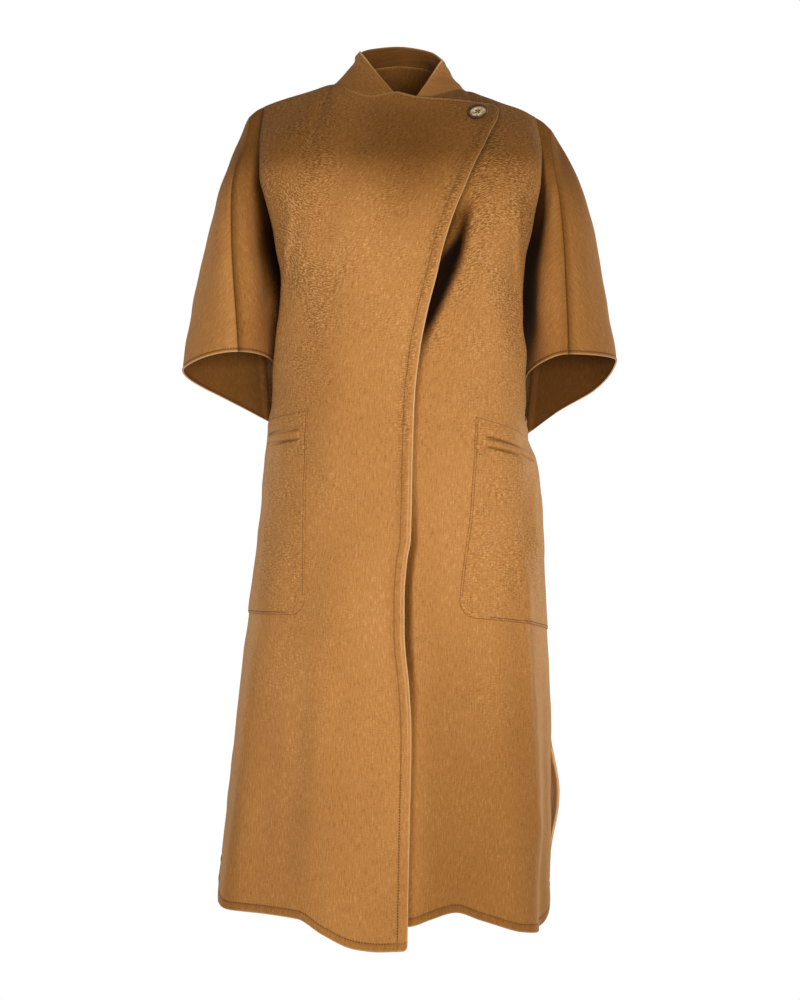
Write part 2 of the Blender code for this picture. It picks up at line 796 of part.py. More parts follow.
def add_material(name, colour, roughness):
    material = bpy.data.materials.new(name)
    material.use_nodes = True
    shader = material.node_tree.nodes["Principled BSDF"]
    shader.inputs["Base Color"].default_value = (*colour, 1.0)
    shader.inputs["Roughness"].default_value = roughness
    shader.inputs["Metallic"].default_value = 0.0
    return material


# ---- the pieces ----------------------------------------------------------------------------

def away_from_axis(place):
    return Vector((place.x, place.y, 30.0))


def outward_from_arm(side):
    """Outward on a sleeve: away from a line down the middle of the upper arm."""
    def outward(place):
        centre = Vector((side * blend(120.0, 205.0, clamp(-place.z / 250)), 5.0, place.z - 40.0))
        return place - centre

    return outward


def make_front(name, side, material):
    """A front with the front half of its sleeve. Returns its cloth and its grid's numbers."""
    cloth = Cloth()
    numbers = cloth.grid(front_body(side), FRONT_COLUMNS, ROW_HEM, away_from_axis)
    underarm = numbers[FRONT_COLUMNS][TOP_ROWS]
    side_normal = cloth.normals[underarm].copy()
    cloth.grid(sleeve_front(side), SLEEVE_FRONT_COLUMNS, TOP_ROWS, lambda _: Vector((0, -1, 0.2)))
    cloth.normals[underarm] = side_normal
    wall(name, cloth, 0.0, -WALL, material, SEAM_SHARE)
    return cloth, numbers, side


def make_back(material):
    cloth = Cloth()
    numbers = cloth.grid(back_body, 2 * BACK_HALF_COLUMNS, ROW_BACK_HEM, away_from_axis)
    for side, column in ((RIGHT, 0), (LEFT, 2 * BACK_HALF_COLUMNS)):
        underarm = numbers[column][TOP_ROWS]
        side_normal = cloth.normals[underarm].copy()
        cloth.grid(sleeve_back(side), SLEEVE_BACK_COLUMNS, TOP_ROWS, outward_from_arm(side))
        cloth.normals[underarm] = side_normal
    wall("back", cloth, 0.0, -WALL, material, SEAM_SHARE)
    return cloth, numbers


def between(cloth, numbers, column, row):
    """A point and normal of a panel's grid, between two columns where column isn't whole."""
    first = min(int(column), len(numbers) - 2)
    share = column - first
    a, b = numbers[first][row], numbers[first + 1][row]
    normal = blend(cloth.normals[a], cloth.normals[b], share).normalized()
    return blend(cloth.points[a], cloth.points[b], share), normal


def make_patch(name, panel, columns, rows, outside, inside, material, cut_corner):
    """A piece that lies on a panel, made from the panel's points moved out."""
    cloth, numbers, side = panel
    patch = Cloth()
    grid = [[patch.point(*between(cloth, numbers, column, row)) for row in rows]
            for column in columns]
    patch.add_faces(grid, side == LEFT, cut_corner)
    wall(name, patch, outside, inside, material)


def make_pocket(prefix, panel, material):
    """A patch pocket sewn into the side seam, and the welt across its slit."""
    columns = list(range(EDGE_COLUMNS, FRONT_COLUMNS)) + [POCKET_OUTER_COLUMN]
    rows = list(range(TOP_ROWS, ROW_POCKET_BOTTOM + 1))
    outer = GAP + PATCH_WALL
    make_patch(prefix + "_pocket", panel, columns, rows, outer, GAP, material, True)
    whole = range(math.ceil(WELT_INNER_COLUMN), math.floor(WELT_OUTER_COLUMN) + 1)
    columns = [WELT_INNER_COLUMN] + list(whole) + [WELT_OUTER_COLUMN]
    make_patch(prefix + "_welt", panel, columns, [ROW_WELT_TOP, ROW_WELT_BOTTOM],
               outer + GAP + PATCH_WALL * 0.8, outer + GAP, material, False)


def neck_points(panel, end_x):
    """A front's top points along the neck seam, from the collar's end round to the shoulder."""
    cloth, numbers, side = panel
    points = [cloth.points[line[0]] for line in numbers]
    for before, after in zip(points, points[1:]):
        if (before.x - end_x) * (after.x - end_x) <= 0:
            first = blend(before, after, (end_x - before.x) / (after.x - before.x))
            break
    rest = [point for point in points
            if side * (point.x - end_x) > 1 and abs(point.x) < NECK_HALF_WIDTH - 1]
    shoulder = Vector((side * NECK_HALF_WIDTH, 0.0, TOP_Z[side](NECK_HALF_WIDTH)))
    return [first] + rest + [shoulder]


def collar_grid(base):
    """The band's points by column and row, from its top edge down to the neck seam."""
    lengths = [0.0]
    for before, after in zip(base, base[1:]):
        lengths.append(lengths[-1] + (after - before).length)
    grid = []
    for length, foot in zip(lengths, base):
        turn = length / lengths[-1]
        top = Vector((COLLAR_TOP_X(turn), COLLAR_TOP_Y(turn), COLLAR_TOP_Z(turn)))
        foot = foot + (top - foot).normalized() * COLLAR_GAP
        line = []
        for row in range(COLLAR_ROWS + 1):
            share = row / COLLAR_ROWS
            place = blend(top, foot, share)
            flat = Vector((place.x, place.y, 0.0)).normalized()
            hollow = COLLAR_HOLLOW * flat.x ** 2 * math.sin(math.pi * share)
            line.append(place - flat * hollow)
        grid.append(line)
    return grid


def make_collar(right, left, back, material):
    """A stand collar on the panels' own neck points, leaning in, with slanted front ends."""
    back_cloth, back_numbers = back
    nape = [back_cloth.points[line[0]] for line in back_numbers]
    nape = [point for point in nape if abs(point.x) < NECK_HALF_WIDTH - 1]
    base = neck_points(right, COLLAR_RIGHT_END) + nape
    base += list(reversed(neck_points(left, COLLAR_LEFT_END)))
    places = collar_grid(base)
    cloth = Cloth()
    last, foot = len(places) - 1, COLLAR_ROWS
    numbers = []
    for column, line in enumerate(places):
        numbers.append([])
        for row, place in enumerate(line):
            across = places[min(column + 1, last)][row] - places[max(column - 1, 0)][row]
            down = line[min(row + 1, foot)] - line[max(row - 1, 0)]
            numbers[-1].append(cloth.point(place, across.cross(down).normalized() * -1))
    cloth.add_faces(numbers, True)
    wall("collar", cloth, 0.0, -COLLAR_WALL, material)


def heights_on(panel, centre, normal, radius, count):
    """How high a panel reaches, along a normal, at points on a circle round a centre."""
    cloth = panel[0]
    tree = BVHTree.FromPolygons(cloth.points, cloth.faces)
    turned = normal.to_track_quat("Z", "Y")
    heights = []
    for i in range(count):
        turn = 2 * math.pi * i / count
        spot = Vector((radius * math.cos(turn), radius * math.sin(turn), BUTTON_RADIUS))
        hit = tree.ray_cast(centre + turned @ spot, -normal)[0]
        if hit is not None:
            heights.append((hit - centre).dot(normal))
    return heights


def make_button(panel, material):
    """A four-hole button, turned with a raised rim and a dished middle, on the overlap's corner.

    It stands on a short shank of thread, so that its face clears the curve of the cloth.
    """
    angle = front_angle(BUTTON_X, BUTTON_Z)
    normal = front_normal(angle, BUTTON_Z)
    centre = front_point(angle, BUTTON_Z) + normal * OVERLAP_LIFT
    under = max(heights_on(panel, centre, normal, BUTTON_RADIUS, 24)
                + heights_on(panel, centre, normal, BUTTON_RADIUS / 2, 12)) + GAP
    foot = max(heights_on(panel, centre, normal, SHANK_RADIUS, 8)
               + heights_on(panel, centre, normal, 0.0, 1)) + GAP
    rings = [                        # radius and height of the turned outline
        (SHANK_RADIUS, foot),
        (SHANK_RADIUS, max(under, foot + 0.2)),
        (BUTTON_RADIUS - 1.6, under),
        (BUTTON_RADIUS - 0.3, under + BUTTON_THICKNESS * 0.35),
        (BUTTON_RADIUS, under + BUTTON_THICKNESS * 0.6),
        (BUTTON_RADIUS - 0.7, under + BUTTON_THICKNESS * 0.94),
        (BUTTON_RADIUS - BUTTON_RIM * 0.6, under + BUTTON_THICKNESS),
        (BUTTON_RADIUS - BUTTON_RIM, under + BUTTON_THICKNESS * 0.92),
        (BUTTON_RADIUS - BUTTON_RIM - 1.6, under + BUTTON_THICKNESS - BUTTON_DISH),
    ]
    vertices = []
    for radius, height in rings:
        for i in range(BUTTON_SEGMENTS):
            turn = 2 * math.pi * i / BUTTON_SEGMENTS
            vertices.append(Vector((radius * math.cos(turn), radius * math.sin(turn), height)) * MM)
    faces = [tuple(reversed(range(BUTTON_SEGMENTS)))]
    for ring in range(len(rings) - 1):
        for i in range(BUTTON_SEGMENTS):
            a, b = ring * BUTTON_SEGMENTS + i, ring * BUTTON_SEGMENTS + (i + 1) % BUTTON_SEGMENTS
            faces.append((a, b, b + BUTTON_SEGMENTS, a + BUTTON_SEGMENTS))
    last = (len(rings) - 1) * BUTTON_SEGMENTS
    faces.append(tuple(range(last, last + BUTTON_SEGMENTS)))
    button = add_object("button", vertices, faces, material)
    turned = normal.to_track_quat("Z", "Y").to_matrix().to_4x4()
    button.matrix_world = Matrix.Translation(centre * MM) @ turned
    depth = BUTTON_THICKNESS * 0.6   # the holes are blind, because thread fills them
    for i in range(4):
        turn = math.pi / 4 + math.pi / 2 * i
        place = Vector((math.cos(turn) * BUTTON_HOLE_SPREAD, math.sin(turn) * BUTTON_HOLE_SPREAD,
                        under + BUTTON_THICKNESS)) * MM
        cutter = add_cutter(f"button_hole_{i}", BUTTON_HOLE_RADIUS * MM, 2 * depth * MM)
        cutter.parent = button
        cutter.location = place
        cut = button.modifiers.new(cutter.name, "BOOLEAN")
        cut.operation = "DIFFERENCE"
        cut.object = cutter


def add_cutter(name, radius, length):
    sides = 10
    ring = [Vector((radius * math.cos(2 * math.pi * i / sides),
                    radius * math.sin(2 * math.pi * i / sides), 0.0)) for i in range(sides)]
    half = Vector((0.0, 0.0, length / 2))
    vertices = [place - half for place in ring] + [place + half for place in ring]
    faces = [tuple(reversed(range(sides))), tuple(range(sides, 2 * sides))]
    for i in range(sides):
        j = (i + 1) % sides
        faces.append((i, j, j + sides, i + sides))
    mesh = bpy.data.meshes.new(name)
    mesh.from_pydata([tuple(vertex) for vertex in vertices], [], faces)
    cutter = bpy.data.objects.new(name, mesh)
    bpy.context.scene.collection.objects.link(cutter)
    cutter.hide_render = True
    cutter.display_type = "WIRE"
    return cutter


def main():
    for thing in list(bpy.data.objects):
        bpy.data.objects.remove(thing, do_unlink=True)
    wool = add_material("camel wool", (0.46, 0.20, 0.055), 0.9)
    horn = add_material("horn", (0.10, 0.045, 0.02), 0.3)
    right = make_front("right_front", RIGHT, wool)
    left = make_front("left_front", LEFT, wool)
    back = make_back(wool)
    make_pocket("right", right, wool)
    make_pocket("left", left, wool)
    make_collar(right, left, back, wool)
    make_button(right, horn)


main()
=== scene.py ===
"""Looks of the wool cape: fine cloth shells on the solids' own surfaces, with creases, edges,
stitches, a turned horn button and node-based wool.

The surfaces repeat the solids' tables and formulas, in millimetres, as functions of arrays.
"""
import json
import math
from collections import namedtuple

import bpy
import numpy as np
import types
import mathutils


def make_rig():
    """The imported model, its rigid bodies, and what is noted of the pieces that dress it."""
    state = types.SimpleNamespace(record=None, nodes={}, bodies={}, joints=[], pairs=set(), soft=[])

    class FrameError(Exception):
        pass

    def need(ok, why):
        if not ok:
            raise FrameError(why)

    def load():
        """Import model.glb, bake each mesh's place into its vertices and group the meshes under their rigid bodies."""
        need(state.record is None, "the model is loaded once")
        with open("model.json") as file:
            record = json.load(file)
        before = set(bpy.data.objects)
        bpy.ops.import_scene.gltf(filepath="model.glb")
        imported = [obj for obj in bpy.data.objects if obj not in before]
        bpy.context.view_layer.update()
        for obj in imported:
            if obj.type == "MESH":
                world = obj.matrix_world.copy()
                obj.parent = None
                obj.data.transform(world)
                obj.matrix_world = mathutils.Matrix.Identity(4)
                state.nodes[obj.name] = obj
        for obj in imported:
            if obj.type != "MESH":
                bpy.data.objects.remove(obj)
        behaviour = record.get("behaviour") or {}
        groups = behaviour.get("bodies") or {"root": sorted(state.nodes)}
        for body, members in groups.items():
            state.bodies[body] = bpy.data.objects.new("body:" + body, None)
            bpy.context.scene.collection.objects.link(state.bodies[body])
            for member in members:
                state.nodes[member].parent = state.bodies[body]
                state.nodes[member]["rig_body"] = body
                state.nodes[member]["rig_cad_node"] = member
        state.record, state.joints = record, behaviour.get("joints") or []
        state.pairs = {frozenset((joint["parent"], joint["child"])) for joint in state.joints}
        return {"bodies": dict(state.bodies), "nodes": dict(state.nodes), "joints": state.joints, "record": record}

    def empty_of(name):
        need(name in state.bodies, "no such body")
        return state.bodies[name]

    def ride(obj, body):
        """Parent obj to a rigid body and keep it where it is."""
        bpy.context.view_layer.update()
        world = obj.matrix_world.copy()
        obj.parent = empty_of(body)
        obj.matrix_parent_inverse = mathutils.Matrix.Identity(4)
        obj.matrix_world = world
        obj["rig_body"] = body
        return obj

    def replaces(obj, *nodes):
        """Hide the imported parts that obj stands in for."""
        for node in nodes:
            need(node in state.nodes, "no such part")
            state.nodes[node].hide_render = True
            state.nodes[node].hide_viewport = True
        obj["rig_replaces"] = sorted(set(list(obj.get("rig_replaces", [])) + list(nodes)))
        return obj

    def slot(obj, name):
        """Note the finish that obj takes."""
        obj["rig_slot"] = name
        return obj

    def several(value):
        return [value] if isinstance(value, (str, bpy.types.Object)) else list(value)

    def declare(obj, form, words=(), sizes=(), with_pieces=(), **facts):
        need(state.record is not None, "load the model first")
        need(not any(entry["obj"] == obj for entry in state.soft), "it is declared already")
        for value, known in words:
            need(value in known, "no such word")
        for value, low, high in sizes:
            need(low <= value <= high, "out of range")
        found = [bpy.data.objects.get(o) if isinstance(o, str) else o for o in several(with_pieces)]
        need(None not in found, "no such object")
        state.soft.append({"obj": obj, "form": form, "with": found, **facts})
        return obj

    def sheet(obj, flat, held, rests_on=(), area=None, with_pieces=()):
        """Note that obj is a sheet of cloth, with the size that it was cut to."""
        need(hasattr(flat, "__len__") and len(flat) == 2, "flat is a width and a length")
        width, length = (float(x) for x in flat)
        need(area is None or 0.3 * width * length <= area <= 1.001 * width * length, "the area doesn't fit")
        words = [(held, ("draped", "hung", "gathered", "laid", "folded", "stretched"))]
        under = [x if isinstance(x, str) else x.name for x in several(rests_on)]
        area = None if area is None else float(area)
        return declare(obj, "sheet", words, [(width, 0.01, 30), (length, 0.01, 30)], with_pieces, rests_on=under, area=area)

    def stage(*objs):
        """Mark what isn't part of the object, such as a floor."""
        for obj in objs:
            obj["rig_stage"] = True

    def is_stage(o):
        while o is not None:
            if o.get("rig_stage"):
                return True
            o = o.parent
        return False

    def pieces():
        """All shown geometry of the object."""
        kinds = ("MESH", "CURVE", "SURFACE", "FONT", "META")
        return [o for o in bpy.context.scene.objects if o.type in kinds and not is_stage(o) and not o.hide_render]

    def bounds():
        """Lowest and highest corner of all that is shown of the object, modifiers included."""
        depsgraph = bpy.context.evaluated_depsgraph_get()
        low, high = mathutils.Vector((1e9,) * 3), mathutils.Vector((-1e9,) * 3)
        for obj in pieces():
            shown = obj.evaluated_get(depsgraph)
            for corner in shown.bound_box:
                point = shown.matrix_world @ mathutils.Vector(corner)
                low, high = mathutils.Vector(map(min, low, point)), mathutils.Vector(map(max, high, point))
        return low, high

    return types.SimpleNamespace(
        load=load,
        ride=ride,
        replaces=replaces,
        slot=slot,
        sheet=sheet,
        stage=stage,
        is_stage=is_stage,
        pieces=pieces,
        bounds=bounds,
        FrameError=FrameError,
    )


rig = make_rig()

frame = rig.load()
CAD_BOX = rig.bounds()

MM = 0.001
RIGHT, LEFT = -1, 1                 # the wearer's sides, as the sign of x
SIDE_NAME = {RIGHT: "right", LEFT: "left"}
WALL = 2.4
FAR = 999.0                         # a distance that is past every edge


def table(columns, *rows):
    """Rows of numbers under named columns."""
    row = namedtuple("Row", columns)
    return [row(*numbers) for numbers in rows]


# ---- the form, as the solids have it ----------------------------------------------------------
EDGE_COLUMNS, POCKET_COLUMNS = 9, 7
FRONT_COLUMNS = EDGE_COLUMNS + POCKET_COLUMNS
CHEST, BLADE = -140.0, -115.0
NECK_HALF_WIDTH, NECK_FRONT, NECK_BACK = 83.0, 63.0, 70.0
RIDGE_END, BACK_RIDGE_END = 172.0, 168.0
FRONT_NECK_ANGLE, BACK_NECK_ANGLE = 34.0, 45.0
SECTION_POWER, BACK_SECTION_POWER = 2.0 / 2.3, 0.74
UNDERARM = {RIGHT: -428.0, LEFT: -443.0}
UNDERARM_TABLE = -430.0
MIDDLE_BLEND = 14.0                 # within this angle the two sides' soft folds run together

BODY = table("z right left front back",
    (-45, 186, 188, 122, 106), (-85, 187, 189, 126, 112), (-125, 184, 186, 129, 117),
    (-150, 178, 182.5, 132, 120), (-175, 172, 178.5, 134, 122), (-215, 165, 170, 137, 124),
    (-258, 159, 164, 139, 124), (-300, 163, 163, 140, 122), (-345, 168, 168, 140, 120),
    (-400, 169, 168, 139, 118), (-430, 167, 164, 139, 117), (-450, 168, 163, 139, 117),
    (-475, 171, 171.5, 139, 118), (-530, 175, 179, 140, 120), (-655, 190, 185, 144, 126),
    (-780, 206, 191, 150, 133), (-910, 219, 192, 157, 141), (-1080, 239, 188, 167, 150))
FRONT_FOLD = table("z curl y",
    (-40, 4, -52), (-110, 9, -40), (-160, 14, -24), (-215, 18, -6), (-258, 19, 6), (-345, 17, 18),
    (-405, 9, 18), (-430, 0, 12), (-1080, 0, 10))
BACK_FOLD = table("z x y turn",
    (-42, 176, 58, 0.0), (-110, 182, 66, 0.0), (-200, 184, 72, 0.15), (-300, 179, 60, 0.5),
    (-370, 172, 40, 0.8), (-430, 165, 12, 1.0))
SLEEVE = table("z seam_right seam_left seam_y tip_right tip_left tip_y hull hull_y",
    (-45, 193, 191, -26, 205, 202, 5, 194, 46), (-75, 198, 192, -30, 212, 212, 6, 203, 50),
    (-110, 209, 196, -36, 221, 225, 7, 212, 55), (-150, 213, 202, -43, 234, 240, 8, 221, 59),
    (-200, 212, 206, -50, 246, 251, 8, 229, 62), (-250, 209, 208, -56, 257, 259, 6, 236, 64),
    (-300, 205, 210, -61, 266, 268, 3, 241, 60), (-345, 202, 211, -65, 273, 276, 0, 244, 56),
    (-430, 198, 212, -70, 286, 292, 0, 247, 50))
SLEEVE_KNOTS = [0.0, 1.0, 1.4, 1.7, 2.0]
SLEEVE_TOP_X = [172.0, 190.0, 190.5, 184.0, 168.0]
SLEEVE_HEM = table("across right left",
    (0.0, -428, -443), (0.035, -392, -408), (0.1, -364, -380), (0.22, -352, -366),
    (0.6, -345, -353), (1.0, -342, -345), (1.4, -360, -349), (1.7, -388, -391),
    (1.86, -408, -414), (2.0, -428, -443))
TOP = table("x right left back",
    (0, -18, -18, 36), (31, -21, -21, 32), (63, -11, -12, 17), (83, 1, -8, -1),
    (107, -6, -15, -6), (130, -13, -23, -13), (150, -19, -30, -19), (165, -24, -37, -24),
    (182, -32, -47, -32), (192, -42, -58, -42))
NECK_ROUNDING, SHOULDER_ROUNDING = 1.0, 0.6
COLLAR_RIGHT_END, COLLAR_LEFT_END = -7.6, 21.0
OVERLAP_TOP = table("x z",
    (COLLAR_RIGHT_END, -18), (21, -27), (61, -29.5), (90, -32.5), (112, -35.5), (120, -39.5),
    (126, -46))
OVERLAP_EDGE = table("z x",
    (-40, 122), (-51, 121), (-71, 112.5), (-110, 93), (-144, 78), (-168, 68), (-211, 54),
    (-256, 43), (-299, 32.5), (-342, 24.5), (-400, 18), (-469, 15.5), (-576, 13), (-600, 9),
    (-647, 5.5), (-690, 5.5), (-757, 11), (-814, 13.5), (-920, 11.5), (-1075, 8.5))
UNDER_EDGE = table("z x",
    (-20, COLLAR_LEFT_END), (-80, 8), (-150, -18), (-250, -45), (-400, -64), (-1075, -76))
OVERLAP_LIFT, LIFT_TAPER = 6.5, 70.0
POCKET_SIDE = table("z right left",
    (-5, 85, 86), (-60, 100, 98), (-200, 110, 106), (-424, 113, 94), (-540, 115, 86),
    (-660, 117, 73), (-1075, 132, 76))
# A pocket's lines across, at its inner side and at the side seam.
WAIST = {RIGHT: (-416, -428), LEFT: (-424, -443)}
POCKET_TOP = {RIGHT: (-416, -430), LEFT: (-424, -457)}
WELT_TOP = {RIGHT: (-439, -448), LEFT: (-447.5, -476.5)}
WELT_BOTTOM = {RIGHT: (-451, -459), LEFT: (-458, -485)}
POCKET_BOTTOM = {RIGHT: (-669, -670), LEFT: (-671, -692)}
HEM = {
    RIGHT: table("angle z",
        (-4, -1075), (4, -1077), (10, -1074), (19, -1058), (29, -1040), (45, -1038), (62, -1037),
        (75, -1028), (83, -1011), (90, -985)),
    LEFT: table("angle z",
        (-20, -1048), (2, -1047), (9, -1040), (20, -1033), (31, -1044), (46, -1059), (60, -1063),
        (73, -1061), (83, -1048), (90, -1018)),
}
BACK_HEM = table("angle z",
    (0, -1050), (70, -1046), (82, -1038), (90, -1008))
WAVE = "angle width start depth"
FRONT_WAVES = {
    RIGHT: table(WAVE,
        (12, 16, -480, 6), (46, 13, -560, -9), (66, 10, -700, 6)),
    LEFT: table(WAVE,
        (21, 13, -520, -15), (50, 14, -520, 13), (70, 8, -560, -7)),
}
BACK_WAVES = table(WAVE,
    (0, 14, -360, -9), (24, 12, -420, 10), (45, 10, -520, -10), (66, 10, -480, 9))
WAVE_END = -1060.0
VENT_BULGE, VENT_BULGE_Z, VENT_BULGE_HALF = 11.0, -900.0, 85.0
COLLAR_TOP = table("turn x y z",
    (0.0, -52.5, -22, 39), (0.16, -57, 8, 37.5), (0.32, -45.5, 37, 49.5), (0.5, -2, 54, 57),
    (0.68, 42, 38, 47), (0.84, 56.5, 8, 31), (1.0, 55, -20, 29))
COLLAR_HOLLOW, COLLAR_WALL = 3.0, 3.0
BUTTON_X, BUTTON_Z = 100.0, -50.0


# ---- lines and blends -------------------------------------------------------------------------

def clamp(value, low=0.0, high=1.0):
    return np.clip(value, low, high)


def blend(start, end, share):
    return start + (end - start) * share


def ease(share):
    share = clamp(share)
    return share * share * (3.0 - 2.0 * share)


def bump(distance):
    return ease(1.0 - np.abs(distance))


def bell(value, middle, width):
    return np.exp(-((value - middle) / width) ** 2)


def fade(value, start, end):
    """A smooth step: 0 up to where the value is at its start, and 1 from its end on."""
    return ease((value - start) / (end - start))


def unit(ways, axis=-1):
    return ways / np.maximum(np.linalg.norm(ways, axis=axis, keepdims=True), 1e-12)


def lengths(line):
    """Each point's distance along a line from its start."""
    return np.concatenate([[0.0], np.cumsum(np.linalg.norm(np.diff(line, axis=0), axis=1))])


def pick(at, along, line):
    """A line's values at distances along it."""
    return np.stack([np.interp(at, along, column) for column in line.T], axis=-1)


def hermite(start, end, leaving, arriving, t):
    return ((2 * t ** 3 - 3 * t ** 2 + 1) * start + (t ** 3 - 2 * t ** 2 + t) * leaving
            + (-2 * t ** 3 + 3 * t ** 2) * end + (t ** 3 - t ** 2) * arriving)


def profile(rows, column):
    """A smooth line through a table's column, with no overshoot, as a function of arrays."""
    key = rows[0]._fields[0]
    points = np.array(sorted((getattr(row, key), getattr(row, column)) for row in rows), float)
    keys, values = points[:, 0], points[:, 1]
    slopes = np.diff(values) / np.diff(keys)
    tangents = [slopes[0]]
    for before, after in zip(slopes, slopes[1:]):
        same_way = before * after > 0
        tangents.append(2.0 * before * after / (before + after) if same_way else 0.0)
    tangents = np.array(tangents + [slopes[-1]])

    def line(at):
        at = np.clip(at, keys[0], keys[-1])
        i = np.clip(np.searchsorted(keys, at) - 1, 0, len(keys) - 2)
        span = keys[i + 1] - keys[i]
        return hermite(values[i], values[i + 1], tangents[i] * span, tangents[i + 1] * span,
                       (at - keys[i]) / span)

    return line


def profiles(rows, names):
    return [profile(rows, name) for name in names.split()]


def both(rows, right="right", left="left"):
    """A table's columns for the two sides, chosen by an array of sides."""
    lines = profiles(rows, right + " " + left)
    return lambda side, at: np.where(np.asarray(side) > 0, lines[1](at), lines[0](at))


HALF_WIDTH = both(BODY)
FRONT_DEPTH, BACK_DEPTH = profiles(BODY, "front back")
FOLD_CURL, FOLD_Y = profiles(FRONT_FOLD, "curl y")
BACK_FOLD_X, BACK_FOLD_Y, BACK_FOLD_TURN = profiles(BACK_FOLD, "x y turn")
SEAM_X, TIP_X = both(SLEEVE, "seam_right", "seam_left"), both(SLEEVE, "tip_right", "tip_left")
SEAM_Y, TIP_Y = profiles(SLEEVE, "seam_y tip_y")
HULL_X, HULL_Y = profiles(SLEEVE, "hull hull_y")
SLEEVE_HEM_Z, TOP_Z = both(SLEEVE_HEM), both(TOP)
TOP_BACK_Z, OVERLAP_TOP_Z = profile(TOP, "back"), profile(OVERLAP_TOP, "z")
OVERLAP_EDGE_X, UNDER_EDGE_X = profile(OVERLAP_EDGE, "x"), profile(UNDER_EDGE, "x")
POCKET_X = both(POCKET_SIDE)
HEM_Z = {side: profile(rows, "z") for side, rows in HEM.items()}
BACK_HEM_Z = profile(BACK_HEM, "z")
COLLAR_TOP_LINES = profiles(COLLAR_TOP, "x y z")


def side_of(angle):
    return np.where(np.asarray(angle) >= 0, LEFT, RIGHT)


def underarm(side):
    return np.where(np.asarray(side) > 0, UNDERARM[LEFT], UNDERARM[RIGHT])


def sleeve_level(side, z):
    low = underarm(side)
    return np.where(z < low, z, z * UNDERARM_TABLE / low)


def rounding(x):
    return blend(NECK_ROUNDING, SHOULDER_ROUNDING, fade(np.abs(x), 50, 95))


def neck_y(x, depth):
    return depth * np.sqrt(np.maximum(0.0, 1.0 - (x / NECK_HALF_WIDTH) ** 2))


def waves(rows, angle, z):
    total = 0.0
    for wave in rows:
        grown = ease((wave.start - z) / (wave.start - WAVE_END))
        total = total + wave.depth * grown * bump((angle - wave.angle) / (1.7 * wave.width))
    return total


def moved_out(x, y, distance):
    length = np.maximum(np.hypot(x, y), 1e-6)
    return x + distance * x / length, y + distance * y / length


def top_x(angle, neck_angle, ridge_end):
    on_neck = NECK_HALF_WIDTH * np.sin(np.pi / 2 * np.minimum(angle / neck_angle, 1.0))
    share = (angle - neck_angle) / (90.0 - neck_angle)
    return np.where(angle <= neck_angle, on_neck, blend(NECK_HALF_WIDTH, ridge_end, share))


def point(x, y, z):
    return np.stack(np.broadcast_arrays(x, y, z), axis=-1)


def with_number(places, number):
    number = np.broadcast_to(number, places.shape[:-1])
    return np.concatenate([places, number[..., None]], axis=-1)


# ---- the front --------------------------------------------------------------------------------

def front_top(angle):
    side = side_of(angle)
    x = top_x(np.abs(angle), FRONT_NECK_ANGLE, RIDGE_END)
    return side * x, -neck_y(x, NECK_FRONT), TOP_Z(side, x)


def front_point(angle, z):
    side, size = side_of(angle), np.abs(angle)
    turn = np.radians(size)
    level = sleeve_level(side, z)
    across = np.sin(turn) ** SECTION_POWER
    along = np.maximum(0.0, np.cos(turn)) ** SECTION_POWER
    fold_y = FOLD_Y(level)
    x = side * (HALF_WIDTH(side, z) * across - FOLD_CURL(level) * fade(size, 66, 90))
    y = fold_y - (FRONT_DEPTH(z) + fold_y) * along
    out = blend(waves(FRONT_WAVES[RIGHT], size, z), waves(FRONT_WAVES[LEFT], size, z),
                ease((angle + MIDDLE_BLEND) / (2 * MIDDLE_BLEND)))
    x, y = moved_out(x, y, out)
    start_x, start_y, start_z = front_top(angle)
    fallen = clamp((start_z - z) / (start_z - CHEST))
    round_off = np.sin(np.pi / 2 * fallen) ** rounding(start_x)
    return point(blend(start_x, x, fallen * (2 - fallen)), blend(start_y, y, round_off), z)


def front_angle(x, z):
    side = side_of(x)
    low, high = np.zeros(np.shape(x)), np.full(np.shape(x), 75.0)
    for _ in range(18):
        middle = (low + high) / 2
        inside = np.abs(front_point(side * middle, z)[..., 0]) < np.abs(x)
        low, high = np.where(inside, middle, low), np.where(inside, high, middle)
    return side * (low + high) / 2


def front_normal(angle, z):
    across = front_point(angle + 0.2, z) - front_point(angle - 0.2, z)
    down = front_point(angle, z - 0.2) - front_point(angle, z)
    return unit(-np.cross(across, down))


def lift(x, z):
    return OVERLAP_LIFT * ease((x - UNDER_EDGE_X(z) + LIFT_TAPER) / (LIFT_TAPER - 8))


def front_column_angle(side, column, z):
    column, z = np.broadcast_arrays(column, z)
    pocket = front_angle(side * POCKET_X(side, z), z)
    edge_x = OVERLAP_EDGE_X(z) if side == RIGHT else UNDER_EDGE_X(z)
    inner = blend(front_angle(edge_x, z), pocket, column / EDGE_COLUMNS)
    outer = blend(pocket, side * 90.0, (column - EDGE_COLUMNS) / POCKET_COLUMNS)
    return np.where(column >= EDGE_COLUMNS, outer, inner)


def front_place(side, column, z):
    """A point of a front by column and height, the right one lifted where it overlaps.

    A fourth number is the angle round the body, which places creases.
    """
    angle = front_column_angle(side, column, z)
    places = front_point(angle, z)
    if side == RIGHT:
        places = places + front_normal(angle, z) * lift(places[..., 0], z)[..., None]
    return with_number(places, angle)


def front_column_ends(side, column):
    """Where each column of a front begins and ends."""
    top = np.full(np.shape(column), -20.0)
    for _ in range(8):
        angle = front_column_angle(side, column, top)
        x = front_point(angle, top)[..., 0]
        top = front_top(angle)[2]
        if side == RIGHT:
            top = np.where(x > COLLAR_RIGHT_END, OVERLAP_TOP_Z(x), top)
    bottom = np.full(np.shape(column), float(HEM[side][0].z))
    for _ in range(4):
        bottom = HEM_Z[side](side * front_column_angle(side, column, bottom))
    return top, bottom


def line_at(ends, column):
    return blend(*ends, clamp((column - EDGE_COLUMNS) / POCKET_COLUMNS))


